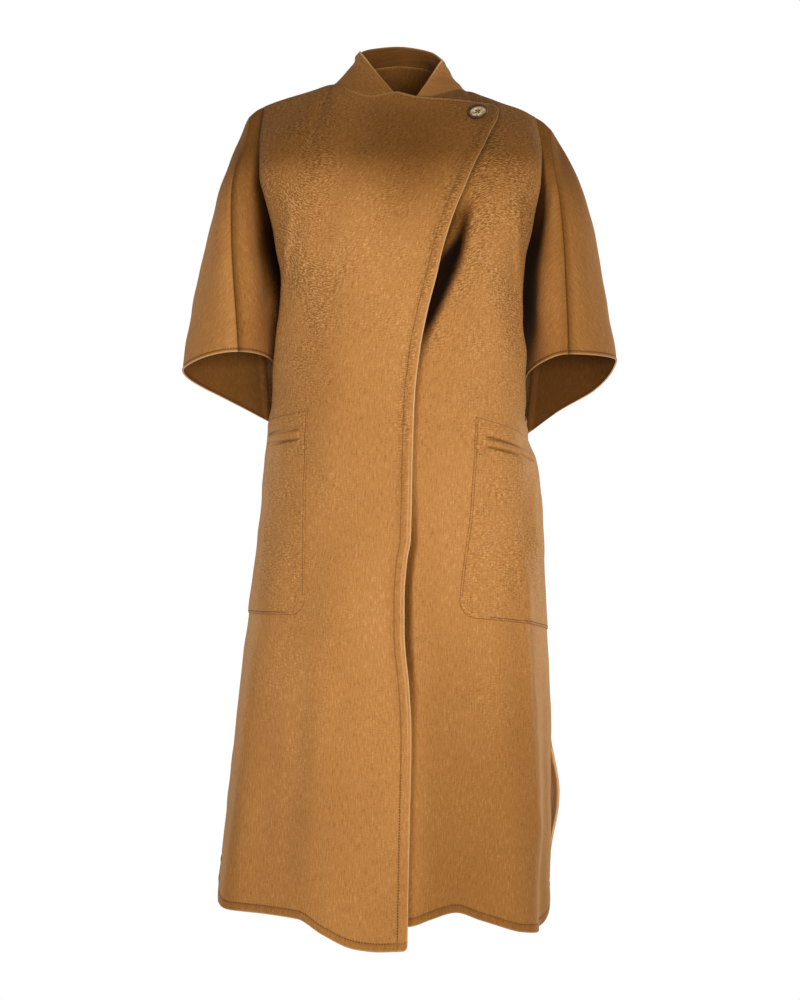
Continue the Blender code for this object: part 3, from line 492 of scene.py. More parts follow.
# ---- the back ---------------------------------------------------------------------------------

def side_point(side, z):
    low = underarm(side)
    bulge = np.where(side > 0, VENT_BULGE * bump((z - VENT_BULGE_Z) / VENT_BULGE_HALF), 0.0)
    level = sleeve_level(side, z)
    shift = HALF_WIDTH(side, low) - BACK_FOLD[-1].x
    below = z <= low
    return (np.where(below, HALF_WIDTH(side, z) + bulge,
                     BACK_FOLD_X(level) + shift * level / UNDERARM_TABLE),
            np.where(below, FOLD_Y(z), BACK_FOLD_Y(level)),
            np.where(below, 1.0, BACK_FOLD_TURN(level)))


def back_section(side, share, z):
    outer_x, outer_y, turn = side_point(side, z)
    depth = BACK_DEPTH(z)
    blade_x, blade_y = BACK_SECTION_POWER * outer_x, blend(outer_y, depth, BACK_SECTION_POWER)
    reach = np.hypot(outer_x - blade_x, outer_y - blade_y)
    smooth_x, smooth_y = (outer_x - blade_x) / reach, (outer_y - blade_y) / reach
    way_x, way_y = blend(smooth_x, 0.0, turn), blend(smooth_y, -1.0, turn)
    size = np.hypot(way_x, way_y)
    way_x, way_y = way_x / size * reach, way_y / size * reach
    through_x, through_y = outer_x * 0.62, (outer_y - depth) * 0.62
    near = share < 0.5
    t = np.where(near, share * 2, share * 2 - 1)
    x = np.where(near, hermite(0.0, blade_x, blade_x, through_x, t),
                 hermite(blade_x, outer_x, through_x, way_x, t))
    y = np.where(near, hermite(depth, blade_y, 0.0, through_y, t),
                 hermite(blade_y, outer_y, through_y, way_y, t))
    return x, y


def back_top(side, x):
    return blend(TOP_BACK_Z(x), TOP_Z(side, x), fade(x, 40, 80))


def back_point(side, share, z):
    x, y = back_section(side, share, z)
    x, y = moved_out(x, y, waves(BACK_WAVES, 90 * share, z) * ease((1 - share) * 8))
    start_x = top_x(90 * share, BACK_NECK_ANGLE, BACK_RIDGE_END)
    start_z = back_top(side, start_x)
    fallen = clamp((start_z - z) / (start_z - BLADE))
    round_off = np.sin(np.pi / 2 * fallen) ** rounding(start_x)
    x = side * blend(start_x, x, fallen * (2 - fallen))
    return point(x, blend(neck_y(start_x, NECK_BACK), y, round_off), z)


# ---- the sleeves ------------------------------------------------------------------------------

def sleeve_section(side, across, z):
    level = sleeve_level(side, z)
    fold = front_point(side * 90.0 + 0.0 * z, z)
    back_x, back_y, _ = side_point(side, z)
    knots = [np.stack(np.broadcast_arrays(x, y)) for x, y in (
        (np.abs(fold[..., 0]), fold[..., 1]), (SEAM_X(side, level), SEAM_Y(level)),
        (TIP_X(side, level), TIP_Y(level)), (HULL_X(level), HULL_Y(level)), (back_x, back_y))]
    ways = [unit(knots[min(i + 1, 4)] - knots[max(i - 1, 0)], 0) for i in range(5)]
    result = np.zeros((2,) + np.shape(z))
    for i in range(4):
        length = np.linalg.norm(knots[i + 1] - knots[i], axis=0)
        share = (across - SLEEVE_KNOTS[i]) / (SLEEVE_KNOTS[i + 1] - SLEEVE_KNOTS[i])
        here = hermite(knots[i], knots[i + 1], ways[i] * length, ways[i + 1] * length, share)
        result = np.where((share >= 0) & (share <= 1.0), here, result)
    return result


def sleeve_place(side, across, v):
    """A point of a sleeve, from its front fold (0) by the seam (1) to its back fold (2)."""
    start_x = np.interp(across, SLEEVE_KNOTS, SLEEVE_TOP_X)
    start_z = TOP_Z(side, start_x)
    z = blend(start_z, SLEEVE_HEM_Z(side, across), v)
    across, start_x, start_z = np.broadcast_arrays(across, start_x, start_z + 0 * z)[:3]
    x, y = sleeve_section(side, across, z)
    fallen = clamp((start_z - z) / (start_z - blend(CHEST, BLADE, across / 2)))
    round_off = np.sin(np.pi / 2 * fallen) ** SHOULDER_ROUNDING
    out = blend(fallen * (2 - fallen), round_off, np.sin(np.pi * across / 2))
    places = point(side * blend(start_x, x, out), y * round_off, z)
    places = np.where((across <= 0.0)[..., None], front_point(side * 90.0 + 0 * z, z), places)
    places = np.where((across >= 2.0)[..., None], back_point(side, 1.0 + 0 * z, z), places)
    return with_number(places, across)


# ---- spacing and resampling -------------------------------------------------------------------

Fine = namedtuple("Fine", "zone step")          # an end with stitches needs a wide fine zone
PLAIN, SEAMED, STITCHED = Fine(0.0, 9.0), Fine(0.0, 0.5), Fine(15.0, 0.4)
SEAMED_WIDE = Fine(6.0, 0.4)
FINE_STEP, RAMP, GROWTH = 1.25, 0.5, 0.14


def spaced(length, start, end, coarse):
    """Shares of a length, close together at its fine ends and coarse between them."""
    s = np.linspace(0.0, length, 3000)

    def step(from_end, fine):
        close = np.minimum(fine.step + RAMP * from_end, FINE_STEP if fine.zone else coarse)
        return close + GROWTH * np.maximum(0.0, from_end - fine.zone)

    size = np.minimum(coarse, np.minimum(step(s, start), step(length - s, end)))
    count = np.concatenate([[0.0], np.cumsum(np.diff(s) / size[1:])])
    steps = int(round(count[-1]))
    return np.interp(np.linspace(0.0, count[-1], steps + 1), count, s) / length


def resample(grid, shares, axis=0):
    """Move a dense grid's points along an axis to shares of each line's length."""
    grid = grid.swapaxes(0, axis)
    along = arc(grid[..., :3], 0)
    result = np.empty((len(shares),) + grid.shape[1:])
    for i in range(grid.shape[1]):
        result[:, i] = pick(shares * along[-1, i], along[:, i], grid[:, i])
    return result.swapaxes(0, axis)


def arc(grid, axis, from_end=False):
    """Each point's distance along its line from the line's start or end."""
    steps = np.linalg.norm(np.diff(grid, axis=axis), axis=2)
    zero = np.zeros_like(np.take(steps, [0], axis=axis))
    along = np.concatenate([zero, np.cumsum(steps, axis=axis)], axis=axis)
    return np.take(along, [-1], axis=axis) - along if from_end else along


TOP_DENSE = np.linspace(0.0, 1.0, 260) ** 2.4
LOW_DENSE = np.linspace(0.0, 1.0, 180)
TOP_SHARES = spaced(400.0, SEAMED, STITCHED, 4.4)
LOW_SHARES = spaced(620.0, PLAIN, STITCHED, 4.6)
ROWS_TOP = len(TOP_SHARES) - 1
TOP_ROWS = slice(0, ROWS_TOP + 1)


def two_parts(place, tops, waists, hems):
    """Lines down a body panel: to the underarm's level, and from there to the hem."""
    upper = place(blend(tops[:, None], waists[:, None], TOP_DENSE))
    lower = place(blend(waists[:, None], hems[:, None], LOW_DENSE))
    upper, lower = resample(upper, TOP_SHARES, 1), resample(lower, LOW_SHARES, 1)
    return np.concatenate([upper, lower[:, 1:]], axis=1)


def down_sleeve(side, across, shares):
    grid = sleeve_place(side, across[:, None], TOP_DENSE[None, :] + 0 * across[:, None])
    return resample(resample(grid, TOP_SHARES, 1), shares)


# ---- panels -----------------------------------------------------------------------------------

def quads_of(numbers):
    """The faces between the points of a grid, given as numbers."""
    return np.stack([numbers[:-1, :-1], numbers[1:, :-1], numbers[1:, 1:], numbers[:-1, 1:]],
                    axis=-1).reshape(-1, 4)


class Panel:
    """A panel's grids, joined along their fold lines, with what the cloth's finish needs."""

    def __init__(self, name, side):
        self.name, self.side = name, side
        self.places, self.quads = np.zeros((0, 3)), np.zeros((0, 4), int)
        self.fields, self.sleeves = {}, []

    def add(self, grid, first=None, flip=False, **fields):
        """Add a grid of places; first holds the numbers of a line that it shares."""
        numbers = np.full(grid.shape[:2], -1)
        if first is not None:
            numbers[0] = first
        new = numbers < 0
        numbers[new] = len(self.places) + np.arange(new.sum())
        self.places = np.vstack([self.places, grid[new]])
        down = arc(grid, 1)
        fields = {"edge": FAR, "seam": FAR, "over": FAR, "top": down, "hem": arc(grid, 1, True),
                  "down": down - grid[:, :1, 2], **fields}
        for key, value in fields.items():
            kept = self.fields.get(key, np.zeros(0))
            self.fields[key] = np.concatenate([kept, np.broadcast_to(value, new.shape)[new]])
        quads = quads_of(numbers)
        self.quads = np.vstack([self.quads, quads[:, ::-1] if flip else quads])
        return numbers

    def add_sleeve(self, sleeve, u, column, across, way=1):
        """Add half a sleeve past the body's first or last column, where the cloth runs on."""
        sleeve = run_past(run_past(sleeve, 0, True), 1, False)
        self.sleeves.append(self.add(
            sleeve, self.body[column, TOP_ROWS], way < 0, over=arc(sleeve, 0, True),
            across=across[column, TOP_ROWS] + way * arc(sleeve, 0), arm=1.0, u=u))

    def face_normals(self, places):
        a, b, c, d = (places[self.quads[:, i]] for i in range(4))
        return np.cross(c - a, d - b)

    def normals(self, places):
        total, faces = np.zeros_like(places), self.face_normals(places)
        for i in range(4):
            np.add.at(total, self.quads[:, i], faces)
        return unit(total)

    def turn_outward(self, middle_y):
        """Make the faces look away from the garment's middle."""
        middles = self.places[self.quads].mean(axis=1)
        away = middles - point(0.0, middle_y, middles[:, 2] - 40.0)
        if (self.face_normals(self.places) * away).sum() < 0:
            self.quads = self.quads[:, ::-1]


def smoothed(grid, share, times, axis=0):
    """Move points a share of the way to the middle of their neighbours, some times over."""
    grid, share = grid.swapaxes(0, axis), share.swapaxes(0, axis)[..., None]
    for _ in range(times):
        middle = grid.copy()
        middle[1:-1] = (grid[:-2] + grid[2:]) / 2
        grid = blend(grid, middle, share)
    return grid.swapaxes(0, axis)


FOLD_ZONE, FOLD_TIMES = 11.0, 10
# Where the overlap turns sharply at its top, and where its edge bends, and how often both are
# evened out.
TURN_X, TURN_HALF, TURN_PASSES = 94.0, 26.0, 50
BEND_Z, BEND_HALF, BEND_PASSES = -76.0, 24.0, 12
SEAM_PAST = 0.5
VENT_TOP = -838.0


def round_folds(*parts):
    """Round the folds where grids of the top rows meet."""
    whole = np.concatenate([parts[0]] + [part[1:] for part in parts[1:]], axis=0)
    starts = np.cumsum([0] + [len(part) - 1 for part in parts])
    row = np.arange(whole.shape[1])
    near = np.zeros(whole.shape[:2])
    for start in starts[1:-1]:
        away = np.linalg.norm(whole - whole[start], axis=2)
        near = np.maximum(near, ease(1.4 - away / FOLD_ZONE))
    near = near * fade(row, ROWS_TOP, ROWS_TOP - 9) * fade(row, 0, 8)
    whole = smoothed(whole, 0.7 * near, FOLD_TIMES)
    return [whole[start:start + len(part)] for start, part in zip(starts, parts)]


def run_past(grid, axis, end, share=1.0):
    """Carry a seam's border a little past its line, so that the two panels' rims meet."""
    line, inside = (-1, -2) if end else (0, 1)
    moved = grid.swapaxes(0, axis).copy()
    way = unit(moved[line] - moved[inside])
    moved[line] += way * SEAM_PAST * np.broadcast_to(share, len(way))[:, None]
    return moved.swapaxes(0, axis)


def round_corner(grid, from_side, from_end, corner):
    """Draw the corner of a grid's first column and last row in to a quarter circle."""
    depth_x, depth_y = clamp(1 - from_side / corner), clamp(1 - from_end / corner)
    reach = np.sqrt(np.maximum(depth_x ** 2 + depth_y ** 2, 1e-9))
    biggest = np.maximum(np.maximum(depth_x, depth_y), 1e-9)
    pull = np.where((depth_x > 0) & (depth_y > 0), 1 - biggest / reach, 0.0) * corner
    inward, upward = unit(np.gradient(grid, axis=0)), unit(-np.gradient(grid, axis=1))
    return grid + inward * (depth_x * pull)[..., None] + upward * (depth_y * pull)[..., None]


def even_overlap(body):
    """Let the overlap pass evenly from the neck to the shoulder, where the solid turns sharply."""
    x, z = body[..., 0], body[..., 2]
    turn = bump((x - TURN_X) / TURN_HALF) * fade(z, -90, -50) * fade(arc(body, 0), 3, 25)
    body = smoothed(body, 0.5 * turn, TURN_PASSES)
    bend = bump((body[..., 2] - BEND_Z) / BEND_HALF) * fade(arc(body, 0), 45, 0)
    return smoothed(body, 0.5 * bend, BEND_PASSES, 1)


FRONT_CORNER = 6.0
MAP_START = {RIGHT: 0.0, LEFT: 2300.0, 0: 4700.0}    # so that no two panels' pile is alike


def sewn(body, column):
    """Where a body panel's side is sewn to the next one: from the underarm to the vent."""
    z = body[column, :, 2]
    return (np.arange(len(z)) >= ROWS_TOP) * fade(z, VENT_TOP, VENT_TOP + 10)


def below_arm(distance):
    return np.where(np.arange(distance.shape[1]) < ROWS_TOP, FAR, distance)


def build_front(side):
    panel = Panel(SIDE_NAME[side] + "_front_cloth", side)
    columns = np.linspace(0.0, FRONT_COLUMNS, 300)
    tops, hems = front_column_ends(side, columns)
    body = two_parts(lambda z: front_place(side, columns[:, None], z), tops,
                     line_at(WAIST[side], columns), hems)
    body = resample(body, spaced(400.0, STITCHED, SEAMED, 3.9))
    sleeve = down_sleeve(side, np.linspace(0.0, 1.0, 90), spaced(66.0, PLAIN, SEAMED, 3.2))
    body_u, sleeve_u, body, sleeve = body[..., 3], sleeve[..., 3], body[..., :3], sleeve[..., :3]
    body[:, TOP_ROWS], sleeve = round_folds(body[:, TOP_ROWS], sleeve)
    body = round_corner(body, arc(body, 0), arc(body, 1, True), FRONT_CORNER)
    if side == RIGHT:
        body = even_overlap(body)
    across, down = MAP_START[side] + arc(body, 0), arc(body, 1) - body[:, :1, 2]
    seam = below_arm(arc(body, 0, True))
    body = run_past(body, 0, True, sewn(body, -1))
    body = run_past(body, 1, False, side * body[:, 0, 0] > NECK_HALF_WIDTH)
    panel.body = panel.add(body, edge=arc(body, 0), seam=seam, across=across, down=down, arm=0.0,
                           u=body_u)
    panel.add_sleeve(sleeve, sleeve_u, -1, across)
    panel.turn_outward(40.0)
    return panel


def build_back():
    panel = Panel("back_cloth", 0)
    halves, sleeves, sleeve_u = {}, {}, {}
    share = np.linspace(0.0, 1.0, 240)
    for side in (RIGHT, LEFT):
        tops = back_top(side, top_x(90 * share, BACK_NECK_ANGLE, BACK_RIDGE_END))
        waists = blend((UNDERARM[LEFT] + UNDERARM[RIGHT]) / 2, UNDERARM[side], ease(share))
        half = two_parts(
            lambda z: with_number(back_point(side, share[:, None], z), side * 90 * share[:, None]),
            tops, waists, BACK_HEM_Z(90 * share))
        halves[side] = resample(half, spaced(270.0, PLAIN, STITCHED, 5.4))
        sleeve = down_sleeve(side, np.linspace(2.0, 1.0, 140), spaced(200.0, PLAIN, SEAMED, 5.2))
        sleeves[side], sleeve_u[side] = sleeve[..., :3], sleeve[..., 3]
    body = np.concatenate([halves[RIGHT][::-1], halves[LEFT][1:]], axis=0)
    body_u, body = body[..., 3], body[..., :3]
    right, body[:, TOP_ROWS], left = round_folds(sleeves[RIGHT][::-1], body[:, TOP_ROWS],
                                                 sleeves[LEFT])
    along = arc(body, 0)
    across = MAP_START[0] + along - along[len(halves[RIGHT]) - 1]
    seam = below_arm(np.minimum(along, along[-1] - along))
    for column in (0, -1):
        body = run_past(body, 0, column < 0, sewn(body, column))
    body = run_past(body, 1, False, np.abs(body[:, 0, 0]) > NECK_HALF_WIDTH)
    panel.body = panel.add(body, seam=seam, across=across, arm=0.0, u=body_u)
    panel.add_sleeve(right[::-1], sleeve_u[RIGHT], 0, across, RIGHT)
    panel.add_sleeve(left, sleeve_u[LEFT], -1, across, LEFT)
    panel.turn_outward(0.0)
    return panel


# ---- creases, seams and stitches in the cloth -------------------------------------------------

# A crease is a soft trough (below 0) or ridge on a panel, through three points given as an
# angle round the body, or a share across a sleeve, and a height.
CREASE = "depth half u0 z0 u1 z1 u2 z2"
FRONT_CREASES = {
    RIGHT: table(CREASE,
        (-1.6, 15, 72, -455, 60, -520, 55, -600), (2.8, 7, 47, -150, 54, -200, 64, -250),
        (1.3, 12, 80, -470, 72, -540, 67, -640), (-1.4, 16, 30, -650, 33, -820, 34, -1000),
        (1.2, 13, 24, -700, 25, -850, 23, -1010), (-1.1, 12, 11, -560, 12, -720, 10, -900),
        (-1.5, 13, 80, -700, 78, -830, 77, -960), (1.0, 16, 58, -240, 66, -330, 74, -415),
        (-1.2, 18, 44, -150, 52, -230, 62, -300), (-0.9, 20, 20, -190, 27, -260, 30, -350),
        (0.9, 18, 10, -300, 18, -370, 22, -450), (-1.0, 14, 52, -850, 50, -930, 52, -1020)),
    LEFT: table(CREASE,
        (-2.0, 9, 12, -330, 9, -420, 7, -520), (2.6, 7, 50, -150, 56, -205, 64, -255),
        (2.2, 12, 34, -175, 28, -262, 20, -350), (-1.5, 15, 74, -470, 62, -530, 57, -610),
        (1.4, 11, 82, -480, 77, -560, 74, -660), (-1.2, 16, 50, -160, 58, -250, 66, -330),
        (-1.6, 12, 84, -560, 82, -720, 81, -900), (1.3, 14, 34, -640, 37, -800, 38, -1000),
        (-1.2, 12, 60, -660, 61, -820, 62, -1000), (-1.0, 15, 25, -380, 33, -450, 36, -540)),
}
BACK_CREASES = table(CREASE,
    (-4.2, 22, 0, -150, 2, -320, 1, -520), (3.0, 20, -26, -180, -20, -330, -16, -520),
    (2.7, 22, 24, -200, 21, -360, 15, -560), (-3.8, 18, -62, -300, -46, -380, -30, -480),
    (-3.4, 17, 64, -320, 47, -400, 33, -520), (3.2, 15, -74, -420, -58, -470, -40, -580),
    (2.8, 14, 75, -440, 58, -500, 44, -600), (-3.0, 15, -34, -620, -36, -780, -35, -1010),
    (-2.8, 15, 12, -600, 11, -800, 12, -1020), (2.7, 14, 35, -640, 36, -800, 34, -1000),
    (2.5, 13, -56, -680, -57, -830, -56, -1000), (-2.7, 12, 78, -560, 76, -720, 77, -930),
    (-2.5, 12, -79, -600, -77, -760, -78, -950))
SLEEVE_FRONT_CREASES = {
    RIGHT: table(CREASE,
        (5.0, 8, 0.78, -80, 0.74, -200, 0.76, -345),
        (-6.0, 8, 0.34, -110, 0.38, -220, 0.44, -345)),
    LEFT: table(CREASE,
        (3.2, 8, 0.74, -100, 0.66, -215, 0.62, -345),
        (-4.2, 8, 0.34, -120, 0.34, -230, 0.30, -345)),
}
SLEEVE_BACK_CREASES = {
    RIGHT: table(CREASE,
        (-2.0, 16, 1.62, -120, 1.60, -220, 1.56, -360),
        (1.6, 14, 1.78, -160, 1.75, -260, 1.70, -370),
        (1.3, 12, 1.30, -200, 1.27, -270, 1.26, -345)),
    LEFT: table(CREASE,
        (-1.8, 15, 1.58, -140, 1.62, -240, 1.58, -370),
        (1.5, 13, 1.80, -180, 1.74, -280, 1.72, -380),
        (-1.2, 11, 1.22, -180, 1.25, -260, 1.24, -340)),
}
DEGREE = 2.9                        # millimetres of cloth for a degree round the body
SLEEVE_FRONT_WIDTH, SLEEVE_BACK_WIDTH = 66.0, 200.0
CREASE_STEPS, CREASE_TAPER, CREASE_WIDTH = 14, 0.3, 1.7


def round_mm(angle):
    return angle * DEGREE


def sleeve_mm(across):
    return np.where(across <= 1.0, across * SLEEVE_FRONT_WIDTH,
                    SLEEVE_FRONT_WIDTH + (across - 1.0) * SLEEVE_BACK_WIDTH)


def creased(rows, u, z, to_mm):
    """How far creases move the cloth out at places given as u and height."""
    total, x = np.zeros(np.shape(u)), to_mm(u)
    t = np.linspace(0.0, 1.0, CREASE_STEPS + 1)[:, None]
    for row in rows:
        first, middle, last = (np.array([float(to_mm(row[i])), row[i + 1]]) for i in (2, 4, 6))
        control = 2 * middle - (first + last) / 2
        line = (1 - t) ** 2 * first + 2 * t * (1 - t) * control + t ** 2 * last
        best, at = np.full(np.shape(u), FAR), np.zeros(np.shape(u))
        for i, (step_x, step_z) in enumerate(np.diff(line, axis=0)):
            from_x, from_z = x - line[i, 0], z - line[i, 1]
            share = clamp((from_x * step_x + from_z * step_z) / (step_x ** 2 + step_z ** 2))
            away = np.hypot(from_x - share * step_x, from_z - share * step_z)
            nearer = away < best
            best = np.where(nearer, away, best)
            at = np.where(nearer, (i + share) / CREASE_STEPS, at)
        uneven = 0.75 + 0.25 * np.sin(9.0 * at + row.z0)
        taper = fade(at, 0, CREASE_TAPER) * fade(at, 1, 1 - CREASE_TAPER) * uneven
        total = total + row.depth * taper * bump(best / (CREASE_WIDTH * row.half))
    return total


# The deep trough that the left front falls into, beside the overlap's edge.
TROUGH = table("z x depth",
    (-135, 94, 0), (-162, 87, 5), (-200, 79.5, 12), (-223, 73.5, 18), (-252, 62.5, 22),
    (-276, 51.5, 21), (-300, 41, 16), (-323, 32, 10), (-350, 25, 5), (-400, 18.5, 2),
    (-450, 16, 0.8), (-500, 14.5, 0))
TROUGH_X, TROUGH_DEPTH = profiles(TROUGH, "x depth")
TROUGH_WALL = 11.0                  # its steep side's width
TROUGH_RISE = 11.0, 45.0            # its slope up under the overlap, at its top and lower down
TROUGH_LEAST = 0.3                  # what is left of its depth under the overlap
# The soft ridge where the left front turns to the side, below the pocket's mouth.
RIDGE = table("z x height",
    (-520, 138, 0), (-575, 143.5, 1.4), (-637, 154.5, 2.6), (-686, 158, 2.8), (-734, 161, 2.8),
    (-783, 163.5, 2.8), (-850, 168, 2.8), (-917, 172, 2.4), (-1022, 183, 0))
RIDGE_X, RIDGE_HEIGHT = profiles(RIDGE, "x height")
RIDGE_HALF = 12.0


def ridge(x, z):
    return RIDGE_HEIGHT(z) * bump((x - RIDGE_X(z)) / RIDGE_HALF)


def trough(x, z):
    aside, rise = x - TROUGH_X(z), blend(*TROUGH_RISE, fade(z, -188, -263))
    slope = blend(TROUGH_LEAST, 1.0, ease(1 + aside / rise))
    return TROUGH_DEPTH(z) * fade(aside, TROUGH_WALL, 0) * slope


WOBBLE = np.random.default_rng(7).uniform(0.0, 1.0, (16, 4))
WOBBLE_LENGTHS, WOBBLE_DEPTH = (45.0, 155.0), 0.21


def wobble(x, z):
    """The cloth's own unevenness, from a few long waves that cross each other."""
    total = 0.0
    for a, b, c, d in WOBBLE:
        length, turn = blend(*WOBBLE_LENGTHS, a), math.pi * b
        along = x * math.cos(turn) + z * math.sin(turn)
        total = total + WOBBLE_DEPTH * (0.5 + d) * np.sin(2 * math.pi * along / length + 6.3 * c)
    return total


EDGE_STITCH, HEM_STITCH, SLEEVE_STITCH, TOP_STITCH = 13.0, 10.0, 4.6, 6.0
VENT_STITCH = 9.0
GROOVE_DEPTH, GROOVE_WIDTH, PUFF, PINCH = 0.75, 1.4, 0.55, 1.6
SEAM_DIP, SEAM_WIDTH = 0.9, 4.5
EDGE_LEAST = 0.12
COLLAR_SINK = 1.2


def stitch_line(distance, at):
    return bell(distance, at, GROOVE_WIDTH)


def stitched(distance, at):
    """The groove of a stitch line at a distance inside an edge, and the fuller strip outside."""
    return PUFF * bump((distance - at * 0.45) / (at * 0.55)) - GROOVE_DEPTH * stitch_line(
        distance, at)


def seam_dip(distance):
    return -SEAM_DIP * bump(distance / SEAM_WIDTH)


def crease_moves(panel, arm):
    """How far creases, the cloth's unevenness, the ridge and the trough move a panel out."""
    u, x, z = panel.fields["u"], panel.places[:, 0], panel.places[:, 2]
    if panel.side:
        body = creased(FRONT_CREASES[panel.side], np.abs(u), z, round_mm)
        sleeve = creased(SLEEVE_FRONT_CREASES[panel.side], u, z, sleeve_mm)
    else:
        body = creased(BACK_CREASES, u, z, round_mm)
        sleeve = np.where(x > 0, creased(SLEEVE_BACK_CREASES[LEFT], u, z, sleeve_mm),
                          creased(SLEEVE_BACK_CREASES[RIGHT], u, z, sleeve_mm))
    uneven = wobble(np.where(arm, 400.0 + sleeve_mm(u), round_mm(u)), z)
    edges = np.minimum.reduce([panel.fields[key] for key in ("seam", "over", "top")])
    fold = np.where(arm, sleeve_mm(np.minimum(u, 2 - u)), FAR)
    fold = np.where(~arm & (z > underarm(np.sign(x))), round_mm(90 - np.abs(u)), fold)
    move = (np.where(arm, sleeve, body) + uneven) * fade(edges, 0, 16) * fade(fold, 2, 24)
    return move + (ridge(x, z) - trough(x, z)) * ~arm if panel.side == LEFT else move


def finish_panel(panel):
    """Move a panel's places along their normals, and work out how dark and pale their painted light and shade make
    them.
    """
    f, places = panel.fields, panel.places
    arm = f["arm"] > 0.5
    x, z = places[:, 0], places[:, 2]
    vent = in_vent(z)
    on_seam, free_top = np.abs(x) > NECK_HALF_WIDTH, 0.0
    if panel.side == RIGHT:
        on_seam &= x < 0
        free_top = fade(x, COLLAR_RIGHT_END, COLLAR_RIGHT_END + 8)
    below = 1 - edge_above(z) * (0.6 + 0.3 * bump((z + 650) / 190))
    near_top = fade(f["top"], TOP_STITCH, TOP_STITCH + 4)
    inside = fade(f["edge"], EDGE_STITCH - 2, EDGE_STITCH + 2)
    move = (crease_moves(panel, arm) + seam_dip(f["top"]) * on_seam + seam_dip(f["over"])
            + seam_dip(f["seam"]) * (1 - vent) + stitched(f["seam"], VENT_STITCH) * vent
            + stitched(f["top"], TOP_STITCH) * free_top
            + stitched(f["edge"], EDGE_STITCH) * near_top * below * (panel.side != 0)
            + stitched(f["hem"], HEM_STITCH) * ~arm * inside
            + stitched(f["hem"], SLEEVE_STITCH) * arm)
    panel.line = (stitch_line(f["hem"], HEM_STITCH) * ~arm
                  + stitch_line(f["hem"], SLEEVE_STITCH) * arm
                  + stitch_line(f["edge"], EDGE_STITCH) * (panel.side != 0) * below)
    panel.pinch = PINCH * GROOVE_DEPTH * panel.line
    normals = panel.normals(places)
    panel.facing = normals[:, 1]
    panel.tones, panel.pale = line_tone(panel)
    if panel.side:
        panel.tones = panel.tones * crevice_tone(panel, arm, move) * side_tone(panel, arm)
    panel.places = places + normals * move[:, None]


def rims(quads):
    """The edges that only one face has, in the direction that face runs."""
    starts = quads.reshape(-1)
    ends = np.roll(quads, -1, axis=1).reshape(-1)
    low, high = np.minimum(starts, ends), np.maximum(starts, ends)
    keys = low.astype(np.int64) * (high.max() + 1) + high
    _, first, count = np.unique(keys, return_index=True, return_counts=True)
    chosen = first[count == 1]
    return starts[chosen], ends[chosen]


MATERIALS = {}


def add_object(name, places, faces, material, smooth=True):
    mesh = bpy.data.meshes.new(name)
    mesh.from_pydata((places * MM).tolist(), [], faces)
    mesh.materials.append(MATERIALS[material])
    if smooth:
        mesh.shade_smooth()
    thing = bpy.data.objects.new(name, mesh)
    bpy.context.scene.collection.objects.link(thing)
    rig.ride(thing, "root")
    return thing


def joined(parts):
    """The places and faces of several parts, as one mesh's."""
    starts = np.cumsum([0] + [len(places) for places, _ in parts]).tolist()
    return (np.vstack([places for places, _ in parts]),
            [[k + start for k in face] for (_, faces), start in zip(parts, starts)
             for face in faces])


def as_cloth(thing, replaced, held, flat, rests_on, **more):
    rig.replaces(thing, replaced)
    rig.slot(thing, "wool")
    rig.sheet(thing, flat=flat, held=held, rests_on=rests_on, **more)


# Painted shade on the inner faces, and how much of the nap and of the painted highlight they keep.
INNER_TONE, INNER_NAP, INNER_HIGHLIGHT = 0.38, 0.6, 0.7
RIM_HIGHLIGHT, RIM_WIDTH = 1.3, 2.3


def cloth_shell(name, places, normals, quads, to_rim, wall, maps, nap, tones=1.0,
                inner_tone=INNER_TONE, pale=0.0, pinch=0.0):
    """A closed thin shell of wool with rounded rims, from its outer face's places.

    A pinch is how far stitches draw the inner face out towards the outer one.
    """
    places, normals, maps = (a.reshape(-1, a.shape[-1]) for a in (places, normals, maps))
    count, radius = len(places), wall / 2
    to_rim, nap, tones, pale = (np.broadcast_to(np.ravel(a), count)
                                for a in (to_rim, nap, tones, pale))
    half = np.maximum(radius * np.sqrt(1 - (1 - clamp(to_rim / radius)) ** 2), EDGE_LEAST)
    middle = places - normals * radius
    inner = middle - normals * (half - pinch)[:, None]
    starts, ends = rims(quads)
    walls = np.stack([ends, starts, starts + count, ends + count], axis=1)
    faces = np.vstack([quads, quads[:, ::-1] + count, walls])
    thing = add_object(name, np.vstack([middle + normals * half[:, None], inner]),
                       faces.tolist(), "wool")
    mesh = thing.data
    corners = np.empty(len(mesh.loops), int)
    mesh.loops.foreach_get("vertex_index", corners)
    layer = mesh.uv_layers.new(name="cloth")
    layer.data.foreach_set("uv", (np.vstack([maps, maps])[corners] * MM).reshape(-1))
    # The tone attribute holds painted light and shade, and pale the painted highlight, on both faces.
    tone = painted_light_and_shade_at(places, normals) * tones
    for key, outside, inside in (("nap", nap, nap * INNER_NAP), ("pale", pale, pale * INNER_HIGHLIGHT),
                                 ("tone", tone, tone * inner_tone)):
        layer = mesh.attributes.new(key, "FLOAT", "POINT")
        layer.data.foreach_set("value", np.concatenate([outside, inside]).astype(np.float32))
    return thing


# How light the cloth is painted by height, at the sides and at the middle: painted shade lies
# over the shoulders and the upper chest, where little of the front light reaches.
HEIGHT_SHADE = table("z right middle left",
    (30, 0.70, 0.70, 0.70), (-20, 0.60, 0.58, 0.58), (-45, 0.54, 0.46, 0.52),
    (-90, 0.52, 0.38, 0.51), (-125, 0.78, 0.50, 0.68), (-150, 0.93, 0.66, 0.80),
    (-185, 1.03, 0.86, 0.90), (-225, 1.08, 0.98, 0.95), (-300, 1.05, 1.03, 1.0),
    (-420, 1.0, 1.02, 1.02), (-1080, 1.0, 1.0, 1.0))
HEIGHT_SHADE_SIDE, HEIGHT_SHADE_MIDDLE = both(HEIGHT_SHADE), profile(HEIGHT_SHADE, "middle")
UPWARD_SHADE, BOTTOM_SHADE, LEFT_BOTTOM_SHADE, WING_SHADE = 0.14, 0.16, 0.26, 0.26
